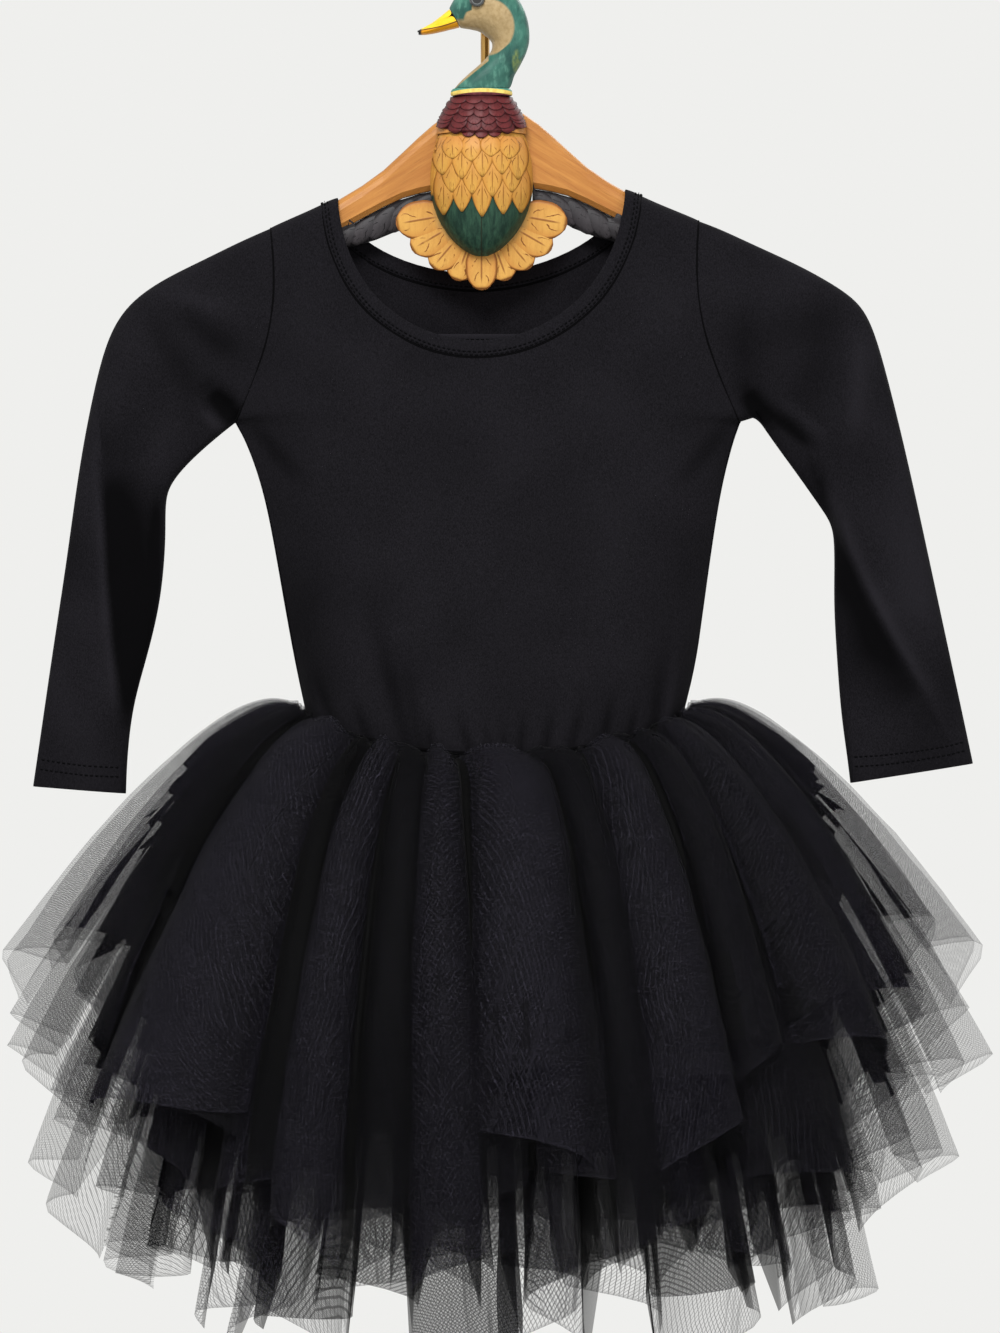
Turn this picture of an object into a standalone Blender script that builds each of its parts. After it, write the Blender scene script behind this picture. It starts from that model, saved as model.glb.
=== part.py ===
"""Child's long-sleeved tutu dress hanging on a carved wooden drake hanger.

Metres, +Z up.  The origin is the point where the hook bears on its rail.
The front faces -Y and +X is the right of the front view.  Tables are in
millimetres and are scaled by MM where they are used.
"""
import math

import bpy
import numpy as np

MM = 0.001

# ---- cloth and seams -------------------------------------------------------
JERSEY_WALL = 1.2 * MM
BINDING_WALL = 2.0 * MM
TULLE_WALL = 1.2 * MM
SEAM_GAP = 0.3 * MM
SEAT_GAP = 0.3 * MM

# ---- hanger bar ------------------------------------------------------------
ARM_RADIUS = 7.0 * MM          # half thickness, and radius of the rounded top
ARM_TILT = 0.016               # the left arm hangs a little lower
ARM_PROFILE = [                # from the middle to the tip
    # x, top, bottom
    (0, -122, -168),
    (22, -126.5, -168.5),
    (35, -136.5, -170.5),
    (47, -147.5, -173.5),
    (58, -157.5, -178.5),
    (81, -172.5, -190.5),
    (122, -191.5, -209),
    (160, -210, -227),
    (190, -224.5, -242),
    (199, -230.5, -246),
    (204, -237, -244),
]
FEATHER_BAND = [               # dark band under each arm
    # x, height
    (27, 9),
    (38, 13),
    (50, 17),
    (62, 16),
    (74, 13),
    (88, 8),
    (98, 3),
]

# ---- bodice ----------------------------------------------------------------
WRAP_RADIUS = 8.8 * MM         # cloth middle where it bends over the arm
WRAP_ANGLES = (0, 30, 60, 90)
UNDERARM_RADIUS = 5.0 * MM
ARMHOLE_BULGE = 9.0 * MM
LENS_POWER = 2.4
EDGE_FADE = 1.6                # how fast the armhole's standing edge falls away inwards
SECTION_ROUND = [              # 0.5 is an oval; higher draws the side seams sharper
    # z, power
    (-492, 0.52),
    (-440, 0.6),
    (-380, 0.7),
    (-302, 0.8),
]
SIDE_SEAMS = [                 # waist to underarm
    # z, left x, right x
    (-470, -101, 112),
    (-435, -109, 121),
    (-402, -115, 125),
    (-352, -124, 132.5),
    (-328, -129.5, 136.5),
    (-302, -142, 145),
]
ARMHOLE_TOP_X = (-122, 121.5)
CENTRE_DEPTH = [               # how far each panel stands from the middle plane
    # z, front, back
    (-492, 43, 41),
    (-440, 36, 33),
    (-380, 28, 25),
    (-302, 21, 18),
    (-258, 18, 15.5),
    (-215, 16, 14),
    (-170, 15, 13),
]
NECK_CENTRE_X = -2.0 * MM
NECK_HALF_WIDTH = 90.5 * MM
WAIST_SIDE_Z = -470 * MM
GATHER_DEPTH = 1.3 * MM        # soft troughs just above the waist
GATHER_SPACING = 42 * MM
GATHER_FADE = 45 * MM
HALF_COLUMNS = 8
COLUMN_CROWDING = 1.55         # above 1: columns stand closer towards the side seams

PANELS = {
    # armhole: distances below the shoulder; neck: angles round the half oval
    "front": dict(side=-1, column=1, neck_drop=91.5 * MM, neck_power=2.0,
                  armhole_bow=10 * MM, waist_dip=20 * MM,
                  strap=(20, 32, 45, 58, 70), neck=(17, 33, 50, 70, 90),
                  lower=(90,)),
    "back": dict(side=1, column=2, neck_drop=51.5 * MM, neck_power=1.85,
                 armhole_bow=5 * MM, waist_dip=14 * MM,
                 strap=(17, 25, 33, 41), neck=(24, 45, 67, 90),
                 lower=(62, 84)),
}
SIDE_ROWS = (0, 0.17, 0.36, 0.56, 0.76, 0.92)   # waist to underarm

# ---- binding and inner band ------------------------------------------------
BINDING_WIDTH = 9.6 * MM
BINDING_CROWN = 0.3 * MM
BAND_LEFT, BAND_RIGHT = -66 * MM, 66 * MM
BAND_TOP, BAND_BOTTOM = -251 * MM, -264 * MM
BAND_COLUMNS = 10

# ---- sleeves ---------------------------------------------------------------
SLEEVE_LEFT = [
    # outer x, outer z, inner x, inner z, front, back, fold place, middle y
    (-140, -201, -150, -308, 17, 16, 0.45, 0),
    (-160, -212, -163, -319, 18, 16, 0.45, 0),
    (-182, -223, -174, -330, 18, 16, 0.4, 0),
    (-200, -233, -181, -340, 17, 15, 0.3, 0),
    (-211, -246, -182.5, -349, 16, 14, 0.22, 0),
    (-218, -265, -182.5, -360, 15, 13, 0.25, -1),
    (-224, -291, -182.5, -374, 14, 12, 0.33, -1),
    (-231, -328, -185, -405, 13, 11, 0.42, -2),
    (-238, -382, -193, -437, 12, 10, 0.57, -3),
    (-245, -427, -201, -464, 12, 10, 0.78, -4),
    (-252.5, -479, -204, -494, 11, 10, 0.7, -4),
    (-257, -509.5, -204.5, -513.5, 10, 10, 0.55, -4),
]
SLEEVE_RIGHT = [
    (134, -196, 155, -299, 17, 16, 0.5, 0),
    (154.5, -206, 166, -315, 18, 16, 0.5, 0),
    (178.5, -215, 180, -334, 18, 16, 0.5, 0),
    (201, -225, 191, -350, 17, 15, 0.6, 0),
    (214, -235, 198, -360, 16, 14, 0.7, 0),
    (221, -249, 199.5, -371, 15, 13, 0.8, -1),
    (228, -273, 199.5, -388, 14, 12, 0.88, -1),
    (239, -317.5, 199, -408, 13, 11, 0.85, -2),
    (250, -368, 201, -442, 12, 10, 0.62, -3),
    (260, -415, 203, -470, 12, 10, 0.4, -4),
    (271.5, -468, 206.5, -494, 11, 10, 0.35, -4),
    (277.5, -496.5, 208, -507.5, 10, 10, 0.5, -4),
]
SLEEVE_CLEARANCE = 1.2 * MM    # over the arm, beyond the wrap radius
CUFF_WRAP = 4.0 * MM
FOLD_SHARPNESS = 0.85

# ---- skirt -----------------------------------------------------------------
FLUTES_PER_HALF = 13
FLUTE_SAMPLES = (0.0, 0.2, 0.5, 0.8)
FLUTE_ROUND = 0.7              # below 1: wide crests and narrow valleys
FLUTE_VALLEY = 0.35            # share of the height that lies inwards
FLUTE_GROWTH = 1.35            # how fast flutes deepen towards the hem
FLUTE_AT_SIDE = 0.65           # flutes stand lower at the sides, under the sleeves
WIDTH_SPREAD = 0.3
HEIGHT_SPREAD = 0.3
HEM_SPREAD = 7 * MM
LAYER_INSET = 1.8 * MM
WAIST_EASE = 0.2 * MM          # covers the difference between straight and curved edges
LAYERS = [
    # Each profile runs from the gathered edge to the hem as a cubic curve;
    # its handles and its end are (out, down) from the waist seam.
    dict(side=((15, -30), (75, 5), (165, 132)),
         front=((20, -1), (76, 12), (133, 172)), flute=15, rows=(0, 0.2, 0.43, 0.7, 1)),
    dict(side=((18, -14), (88, 18), (166, 184)),
         front=((18, 6), (82, 52), (131, 214)), flute=15, rows=(0, 0.3, 0.64, 1)),
    dict(side=((20, -2), (92, 56), (150, 242)),
         front=((15, 14), (76, 94), (124, 256)), flute=14, rows=(0, 0.3, 0.64, 1)),
    dict(side=((16, 10), (76, 104), (108, 292)),
         front=((10, 22), (60, 128), (106, 318)), flute=13, rows=(0, 0.3, 0.64, 1)),
]
FIRST_TURN = (5.0, 3.5)        # where the top layer turns out under the seam
TURN_STEP = (-1.2, 2.8)        # each further layer turns lower and further in

# ---- drake -----------------------------------------------------------------
DRAKE_X = -2.0 * MM
DRAKE_BACK = -(7.0 * MM + SEAT_GAP)
BODY_PROFILE = [
    # z, half width, depth
    (-138.8, 24.6, 21.5),
    (-148, 27.6, 24),
    (-160, 29.4, 25),
    (-174, 29.2, 24.5),
    (-186, 25.6, 22),
    (-196, 19.5, 17.5),
    (-204, 11.5, 11),
    (-208, 4, 4.5),
]
BREAST_PROFILE = [
    (-117.6, 17.2, 17.6),
    (-121, 19.6, 19.2),
    (-127, 22.6, 21.2),
    (-134, 25, 22.8),
    (-138.5, 25.8, 23.2),
]
RING_PROFILE = [
    # z, half width, half depth
    (-113.3, 16.2, 8.7),
    (-114.4, 17.2, 9.5),
    (-116.2, 17.6, 9.8),
    (-117.3, 17.2, 9.4),
]
NECK_Y = -16.3 * MM
HEAD_Y = -18.4 * MM
NECK_SECTIONS = [              # up the neck and round the head to the beak
    # x, z, radius, half depth, degrees turned from straight up
    (-1.7, -113, 16.3, 8.6, 0),
    (1.7, -107.2, 14.4, 8.8, 0),
    (6.3, -102.6, 12.2, 8.9, 5),
    (11.1, -96.9, 10.6, 9, 5),
    (14.2, -91.2, 10.5, 9.3, 0),
    (15, -85.5, 11.3, 10, -10),
    (12.8, -77, 13.8, 11.5, -35),
    (6.5, -68.5, 16.8, 12.8, -65),
    (-1.5, -65.5, 17, 13, -90),
    (-8, -67.5, 14, 11.8, -105),
    (-13.5, -71.3, 9.8, 9.2, -118),
    (-17, -73.3, 6.8, 7.4, -120),
]
BEAK_SECTIONS = [
    # x, z, half height, half depth, degrees
    (-17.35, -73.5, 6.3, 6.9, -120),
    (-22.5, -76, 4.9, 6.5, -118),
    (-28.5, -78.9, 3.4, 6, -115),
    (-34.5, -80.9, 2.3, 5, -112),
    (-38, -81.7, 1.3, 2.8, -110),
]
EYE_X, EYE_Z, EYE_RADIUS = -4.5 * MM, -63.8 * MM, 4.6 * MM
EYE_OUT = 12.8 * MM
EYE_HEIGHT = 1.9 * MM
TAIL_CENTRE_Z = -181 * MM
TAIL_FRONT, TAIL_BACK = -7.0 * MM, -2.9 * MM
TAIL_FEATHERS = (49.5, 46, 43.5, 43, 46, 43, 43.5, 46, 49.5)
TAIL_SPREAD = 180              # degrees, between the outer feathers' sides
TAIL_NOTCH = 0.88
TAIL_RIDGE = 1.2 * MM
TAIL_ROOT = 12 * MM
BAND_FRONT, BAND_BACK = -2.6 * MM, 6.6 * MM

# ---- hook ------------------------------------------------------------------
WIRE_RADIUS = 2.5 * MM
HOOK_RADIUS = 22.5 * MM
HOOK_START, HOOK_END = 210, -60      # degrees
HOOK_STEPS = 18
ROD_SHOULDER_Z = -60 * MM


# ---- small helpers ---------------------------------------------------------
def unit(vectors):
    """Vectors scaled to length one along the last axis."""
    vectors = np.asarray(vectors, dtype=float)
    return vectors / np.linalg.norm(vectors, axis=-1, keepdims=True)


def smooth(table, column, x):
    """Smooth curve through one column of a table, over its first column."""
    rows = sorted(table)
    keys = np.array([row[0] for row in rows]) * MM
    values = np.array([row[column] for row in rows]) * MM
    slopes = np.gradient(values, keys)
    x = np.clip(np.asarray(x, dtype=float), keys[0], keys[-1])
    i = np.clip(np.searchsorted(keys, x) - 1, 0, len(keys) - 2)
    width = keys[i + 1] - keys[i]
    t = (x - keys[i]) / width
    return ((2 * t**3 - 3 * t**2 + 1) * values[i] + (t**3 - 2 * t**2 + t) * width * slopes[i]
            + (3 * t**2 - 2 * t**3) * values[i + 1] + (t**3 - t**2) * width * slopes[i + 1])


def bezier(points, t):
    """Point of a cubic curve with four control points."""
    a, b, c, d = (np.asarray(p, dtype=float) for p in points)
    return (1 - t)**3 * a + 3 * (1 - t)**2 * t * b + 3 * (1 - t) * t**2 * c + t**3 * d


def cap(x):
    """Quarter circle from 0 at 0 to 1 at 1, then flat."""
    return np.sqrt(np.clip(1 - (1 - np.clip(x, 0, 1))**2, 0, 1))


def make_material(name, colour, roughness, metallic=0.0):
    material = bpy.data.materials.new(name)
    material.use_nodes = True
    shader = material.node_tree.nodes["Principled BSDF"]
    shader.inputs["Base Color"].default_value = (*colour, 1.0)
    shader.inputs["Roughness"].default_value = roughness
    shader.inputs["Metallic"].default_value = metallic
    material.diffuse_color = (*colour, 1.0)
    return material


def add_object(name, vertices, faces, material, flat=False):
    mesh = bpy.data.meshes.new(name)
    mesh.from_pydata([tuple(v) for v in vertices], [], faces)
    mesh.materials.append(material)
    if not flat:
        mesh.shade_smooth()
    part = bpy.data.objects.new(name, mesh)
    bpy.context.scene.collection.objects.link(part)
    return part


def wall_from_quads(name, points, normals, quads, thickness, material):
    """Close a sheet of quads into a wall, half the thickness to each side."""
    points, normals = np.asarray(points), np.asarray(normals)
    count = len(points)
    vertices = np.vstack([points + normals * thickness / 2, points - normals * thickness / 2])
    faces = [tuple(quad) for quad in quads]
    faces += [tuple(i + count for i in reversed(quad)) for quad in quads]
    edges = {}
    for quad in quads:
        for a, b in zip(quad, quad[1:] + quad[:1]):
            edges[(a, b)] = (b, a) in edges or edges.get((a, b), False)
            if (b, a) in edges:
                edges[(b, a)] = True
    for (a, b), shared in edges.items():
        if not shared and (b, a) not in edges:
            faces.append((b, a, a + count, b + count))
    return add_object(name, vertices, faces, material)


def grid_quads(rows, columns, closed=False, flip=False):
    quads = []
    last = columns if closed else columns - 1
    for r in range(rows - 1):
        for c in range(last):
            d = (c + 1) % columns
            quad = (r * columns + c, r * columns + d, (r + 1) * columns + d, (r + 1) * columns + c)
            quads.append(tuple(reversed(quad)) if flip else quad)
    return quads


def loft(name, rings, material):
    """Solid through closed rings of equal count, with both ends filled."""
    rings = [np.asarray(ring) for ring in rings]
    count = len(rings[0])
    faces = grid_quads(len(rings), count, closed=True)
    faces.append(tuple(reversed(range(count))))
    faces.append(tuple(range((len(rings) - 1) * count, len(rings) * count)))
    part = add_object(name, np.vstack(rings), faces, material)
    make_outward(part)
    return part


def make_outward(part):
    """Turn the whole surface round where its volume comes out negative."""
    volume = 0.0
    coordinates = [v.co for v in part.data.vertices]
    part.data.calc_loop_triangles()
    for triangle in part.data.loop_triangles:
        a, b, c = (coordinates[i] for i in triangle.vertices)
        volume += a.dot(b.cross(c))
    if volume < 0:
        part.data.flip_normals()


# ---- the hanger bar and the ridge the cloth hangs on ------------------------
def arm_top(x):
    return smooth(ARM_PROFILE, 1, np.abs(x)) + ARM_TILT * np.asarray(x)


def arm_bottom(x):
    return smooth(ARM_PROFILE, 2, np.abs(x)) + ARM_TILT * np.asarray(x)


def ridge(x):
    """Middle of the cloth where it lies on top of the arm."""
    return arm_top(x) - ARM_RADIUS + WRAP_RADIUS


def arm_section(x):
    top, bottom = float(arm_top(x)), float(arm_bottom(x))
    centre = top - ARM_RADIUS
    ring = [(x, ARM_RADIUS * math.cos(a), centre + ARM_RADIUS * math.sin(a))
            for a in np.radians(np.arange(0, 181, 30))]
    low = max(bottom, top - 60 * MM)
    edge = min(3 * MM, (centre - low) * 0.4)
    ring += [(x, -ARM_RADIUS, low + edge), (x, -ARM_RADIUS + edge, low),
             (x, ARM_RADIUS - edge, low), (x, ARM_RADIUS, low + edge)]
    return ring


def build_bar(material):
    half = [0, 12, 22, 30, 38, 47, 58, 70, 84, 102, 122, 142, 160, 176, 190, 198, 203]
    stations = [-x * MM for x in reversed(half[1:])] + [x * MM for x in half]
    loft("hanger_bar", [arm_section(x) for x in stations], material)


def build_feather_bands(material):
    half_depth = (BAND_BACK - BAND_FRONT) / 2
    middle = (BAND_BACK + BAND_FRONT) / 2
    for name, side in (("hanger_feather_left", -1), ("hanger_feather_right", 1)):
        rings = []
        for x, height in FEATHER_BAND:
            x *= side * MM
            top = float(arm_bottom(x)) - SEAT_GAP - 0.1 * MM
            low = top - height * MM
            ring = [(x, middle + half_depth * 0.8, top), (x, middle - half_depth * 0.8, top)]
            for a in np.radians((200, 235, 270, 305, 340)):
                ring.append((x, middle + half_depth * math.cos(a),
                             low + (top - low) * 0.55 * (1 + math.sin(a))))
            rings.append(ring)
        loft(name, rings, material)


# ---- bodice ----------------------------------------------------------------
def underarm(side):
    row = SIDE_SEAMS[-1]
    return row[1 if side < 0 else 2] * MM, row[0] * MM


def shoulder_point(side):
    x = ARMHOLE_TOP_X[0 if side < 0 else 1] * MM
    return x, float(ridge(x))


def armhole_x(side, z, bow):
    """Armhole seam in the front view: a chord bowed towards the middle."""
    top_x, top_z = shoulder_point(side)
    low_x, low_z = underarm(side)
    s = np.clip((top_z - z) / (top_z - low_z), 0, 1)
    return top_x + (low_x - top_x) * s - side * bow * np.sin(math.pi * s)


def edge_x(side, z, bow):
    """Side seam below the underarm, armhole seam above it."""
    low_z = underarm(side)[1]
    seam = smooth(SIDE_SEAMS, 1 if side < 0 else 2, z)
    return np.where(z < low_z, seam, armhole_x(side, z, bow))


def waist_z(x, panel):
    left, right = SIDE_SEAMS[0][1] * MM, SIDE_SEAMS[0][2] * MM
    t = (2 * np.asarray(x) - left - right) / (right - left)
    return WAIST_SIDE_Z - panel["waist_dip"] * (1 - np.abs(t)**2.2)


def panel_depth(x, z, panel):
    """Distance of a panel's middle from the plane y = 0."""
    x, z = np.asarray(x, dtype=float), np.asarray(z, dtype=float)
    bow = panel["armhole_bow"]
    left, right = edge_x(-1, z, bow), edge_x(1, z, bow)
    t = np.clip((2 * x - left - right) / (right - left), -1, 1)
    low_z = underarm(-1)[1]
    high_z = shoulder_point(-1)[1]
    s = np.clip((z - low_z) / (high_z - low_z), 0, 1)
    edge = UNDERARM_RADIUS + (WRAP_RADIUS - UNDERARM_RADIUS) * s
    edge = edge * cap((z - low_z) / UNDERARM_RADIUS) + ARMHOLE_BULGE * np.sin(math.pi * s)
    edge = np.where(z <= low_z, 0, edge)
    centre = smooth(CENTRE_DEPTH, panel["column"], z)
    lens = (1 - np.abs(t)**LENS_POWER)**(smooth(SECTION_ROUND, 1, z) / MM)
    depth = centre * lens + edge * (1 - lens)**EDGE_FADE
    fade = np.exp(-np.abs(z - waist_z(x, panel)) / GATHER_FADE)
    trough = GATHER_DEPTH * fade * lens * np.cos(2 * math.pi * x / GATHER_SPACING)
    return (depth + trough) * cap((ridge(x) - z) / WRAP_RADIUS)


def panel_normal(x, z, panel):
    step = 0.2 * MM
    dx = (panel_depth(x + step, z, panel) - panel_depth(x - step, z, panel)) / (2 * step)
    dz = (panel_depth(x, z + step, panel) - panel_depth(x, z - step, panel)) / (2 * step)
    return unit(np.stack([-dx, np.full_like(dx, panel["side"]), -dz], axis=-1))


def ridge_normal(x):
    step = 0.5 * MM
    slope = (ridge(x + step) - ridge(x - step)) / (2 * step)
    return unit(np.array([-float(slope), 0.0, 1.0]))


def wrap_drops():
    return [WRAP_RADIUS * (1 - math.cos(math.radians(a))) for a in WRAP_ANGLES]


def armhole_drops(panel):
    """Distances below the shoulder point at which an armhole has its points."""
    length = shoulder_point(-1)[1] - underarm(-1)[1]
    drops = wrap_drops() + [d * MM for d in panel["strap"] + panel["lower"]]
    drops += [length - UNDERARM_RADIUS * (1 - math.cos(math.radians(a))) for a in (90, 50, 0)]
    return drops


def armhole_points(side, panel):
    """Armhole seam, shoulder to underarm, with its outward directions."""
    top_z = shoulder_point(side)[1]
    low_z = underarm(side)[1]
    length = shoulder_point(-1)[1] - underarm(-1)[1]
    z = top_z - np.array(armhole_drops(panel)) * (top_z - low_z) / length
    x = armhole_x(side, z, panel["armhole_bow"])
    y = panel["side"] * panel_depth(x, z, panel)
    y[0] = y[-1] = 0
    points = np.stack([x, y, z], axis=-1)
    tangents = unit(np.gradient(points, axis=0))
    tangents[0] = (0, panel["side"], 0)
    tangents[-1] = (0, -panel["side"], 0)
    away = np.array([side, 0.0, 0.0])
    normals = unit(np.cross(tangents, away) * side * -panel["side"])
    return points, normals


def neck_point(side):
    x = NECK_CENTRE_X + side * NECK_HALF_WIDTH
    return x, float(ridge(x))


def neckline_xz(side, angle, panel):
    """Neckline at an angle round its half oval: 0 at the shoulder, 90 in front."""
    power = 2 / panel["neck_power"]
    c, s = math.cos(math.radians(angle)), math.sin(math.radians(angle))
    left_z, right_z = neck_point(-1)[1], neck_point(1)[1]
    across = side * c**power
    x = NECK_CENTRE_X + NECK_HALF_WIDTH * across
    z = (left_z + right_z) / 2 + (right_z - left_z) / 2 * across
    return x, z - panel["neck_drop"] * s**power


def neckline_stations(side, panel):
    """Neckline from the shoulder down to the middle, as (x, z)."""
    stations = []
    for drop in wrap_drops():
        share = (drop / panel["neck_drop"])**(panel["neck_power"] / 2)
        stations.append(neckline_xz(side, math.degrees(math.asin(share)), panel))
    stations += [neckline_xz(side, angle, panel) for angle in panel["neck"]]
    return np.array(stations)


def panel_rows(panel):
    """Rows of (x, z) for a panel: full rows, then the left and right straps."""
    low_rows, straps = [], {-1: [], 1: []}
    bow = panel["armhole_bow"]
    low_z = underarm(-1)[1]
    full = 2 * HALF_COLUMNS + 1
    shares = np.linspace(-1, 1, full)
    shares = np.sign(shares) * (1 - (1 - np.abs(shares))**COLUMN_CROWDING)
    for v in SIDE_ROWS:
        z = WAIST_SIDE_Z + (low_z - WAIST_SIDE_Z) * v
        left, right = float(edge_x(-1, z, bow)), float(edge_x(1, z, bow))
        x = (left + right) / 2 + (right - left) / 2 * shares
        sag = (waist_z(x, panel) - WAIST_SIDE_Z) * (1 - v)
        low_rows.append(np.stack([x, z + sag], axis=-1))
    ends = {side: armhole_points(side, panel)[0][:, (0, 2)] for side in (-1, 1)}
    necks = {side: neckline_stations(side, panel) for side in (-1, 1)}
    strap_count = len(necks[-1])
    middle = np.array(neckline_xz(-1, 90, panel))
    rows_above = len(ends[-1]) - strap_count
    for k in range(rows_above):
        station = len(ends[-1]) - 1 - k
        left, right = ends[-1][station], ends[1][station]
        rise = (k / rows_above)
        x = (left[0] + right[0]) / 2 + (right[0] - left[0]) / 2 * shares
        edge = np.where(shares < 0, left[1], right[1])
        base_middle = low_z + (middle[1] - low_z) * rise
        z = edge + (base_middle - edge) * (1 - np.abs(shares)**2)
        low_rows.append(np.stack([x, z], axis=-1))
    half = np.abs(shares[:HALF_COLUMNS + 1])
    for side in (-1, 1):
        for station in reversed(range(strap_count)):
            end, neck = ends[side][station], necks[side][station]
            x = neck[0] + (end[0] - neck[0]) * half
            straight = neck[1] + (end[1] - neck[1]) * half
            chord = ridge(neck[0]) + (ridge(end[0]) - ridge(neck[0])) * half
            follow = 1 if station < len(WRAP_ANGLES) else 0
            z = straight + (ridge(x) - chord) * follow
            straps[side].append(np.stack([x, z], axis=-1))
    return low_rows, straps


def build_panel(name, panel, material):
    low_rows, straps = panel_rows(panel)
    flat, quads = [], []
    full = 2 * HALF_COLUMNS + 1
    for row in low_rows:
        flat.extend(row)
    top_left = straps[-1][0]
    top_right = straps[1][0]
    flat.extend(top_left)
    flat.extend(top_right[::-1][1:])
    quads += grid_quads(len(low_rows) + 1, full)
    base = len(low_rows) * full
    edges = dict(left=[], right=[])
    edges["left"] = [r * full for r in range(len(low_rows) + 1)]
    edges["right"] = [r * full + full - 1 for r in range(len(low_rows) + 1)]
    neck_ids = {-1: [base + HALF_COLUMNS], 1: [base + HALF_COLUMNS]}
    for side in (-1, 1):
        below = [base + c for c in range(HALF_COLUMNS + 1)]
        if side > 0:
            below = [base + 2 * HALF_COLUMNS - c for c in range(HALF_COLUMNS + 1)]
        for row in straps[side][1:]:
            ids = list(range(len(flat), len(flat) + HALF_COLUMNS + 1))
            flat.extend(row)
            for c in range(HALF_COLUMNS):
                quad = (below[c], below[c + 1], ids[c + 1], ids[c])
                quads.append(quad if side < 0 else tuple(reversed(quad)))
            edges["left" if side < 0 else "right"].append(ids[0])
            neck_ids[side].append(ids[-1])
            below = ids
    flat = np.array(flat)
    x, z = flat[:, 0], flat[:, 1]
    points = np.stack([x, panel["side"] * panel_depth(x, z, panel), z], axis=-1)
    normals = panel_normal(x, z, panel)
    side_count = len(SIDE_ROWS)
    for side, key in ((-1, "left"), (1, "right")):
        ids = edges[key]
        seam = ids[:side_count]
        points[seam, 1] = panel["side"] * SEAM_GAP / 2
        normals[seam] = (side, 0, 0)
        arm_points, arm_normals = armhole_points(side, panel)
        arm_points[:, 0] -= side * SEAM_GAP / 2
        arm_points[0, 1] = arm_points[-1, 1] = panel["side"] * SEAM_GAP / 2
        points[ids[side_count:]] = arm_points[::-1]
        normals[ids[side_count:]] = arm_normals[::-1]
        top = list(range(neck_ids[side][-1] - HALF_COLUMNS, neck_ids[side][-1] + 1))
        for i in top:
            points[i, 1] = panel["side"] * SEAM_GAP / 2
            if i != ids[-1]:
                normals[i] = ridge_normal(points[i, 0])
        neck_points, neck_normals, inwards = neckline_frame(side, panel)
        points[neck_ids[side]] = (neck_points - inwards * SEAM_GAP / 2)[::-1]
        normals[neck_ids[side]] = neck_normals[::-1]
        points[neck_ids[side][-1], 1] = panel["side"] * SEAM_GAP / 2
    if panel["side"] > 0:
        quads = [tuple(reversed(quad)) for quad in quads]
    wall_from_quads(name, points, normals, quads, JERSEY_WALL, material)


def neckline_frame(side, panel):
    """Neckline points, shoulder to middle, with normals and ways in."""
    stations = neckline_stations(side, panel)
    x, z = stations[:, 0], stations[:, 1]
    y = panel["side"] * panel_depth(x, z, panel)
    y[0] = 0
    points = np.stack([x, y, z], axis=-1)
    normals = panel_normal(x, z, panel)
    normals[0] = ridge_normal(x[0])
    tangents = np.gradient(points, axis=0)
    tangents[0] = (0, panel["side"], 0)
    tangents[-1] = (-side, 0, 0)
    inwards = unit(np.cross(normals, tangents) * side * panel["side"])
    return points, normals, inwards


def binding_loop():
    """Closed neckline: points, normals and directions into the opening."""
    parts = []
    for key, side, backwards in (("front", -1, False), ("front", 1, True),
                                 ("back", 1, False), ("back", -1, True)):
        frame = [f[::-1] if backwards else f for f in neckline_frame(side, PANELS[key])]
        parts.append([f[1:] for f in frame])
    return [np.vstack([part[i] for part in parts]) for i in range(3)]


def build_binding(material):
    points, normals, inwards = binding_loop()
    half = BINDING_WALL / 2
    outer = points + inwards * SEAM_GAP / 2
    middle = points + inwards * BINDING_WIDTH * 0.5
    inner = points + inwards * BINDING_WIDTH
    ring = [outer + normals * half, middle + normals * (half + BINDING_CROWN),
            inner + normals * half * 0.6, inner - normals * half * 0.6,
            middle - normals * half, outer - normals * half]
    count = len(points)
    vertices = np.stack(ring, axis=1).reshape(-1, 3)
    faces = []
    for i in range(count):
        j = (i + 1) % count
        for k in range(len(ring)):
            m = (k + 1) % len(ring)
            faces.append((i * 6 + k, j * 6 + k, j * 6 + m, i * 6 + m))
    part = add_object("neck_binding", vertices, faces, material)
    make_outward(part)


def build_inner_band(material):
    """Folded band across the inside of the back."""
    panel = PANELS["back"]
    x = np.tile(np.linspace(BAND_LEFT, BAND_RIGHT, BAND_COLUMNS + 1), 2)
    z = np.repeat([BAND_BOTTOM, BAND_TOP], BAND_COLUMNS + 1)
    normals = panel_normal(x, z, panel)
    points = np.stack([x, panel_depth(x, z, panel), z], axis=-1)
    points = points - normals * (JERSEY_WALL + SEAM_GAP + 0.2 * MM)
    quads = grid_quads(2, BAND_COLUMNS + 1, flip=True)
    wall_from_quads("back_inner_band", points, normals, quads, JERSEY_WALL, material)


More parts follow.
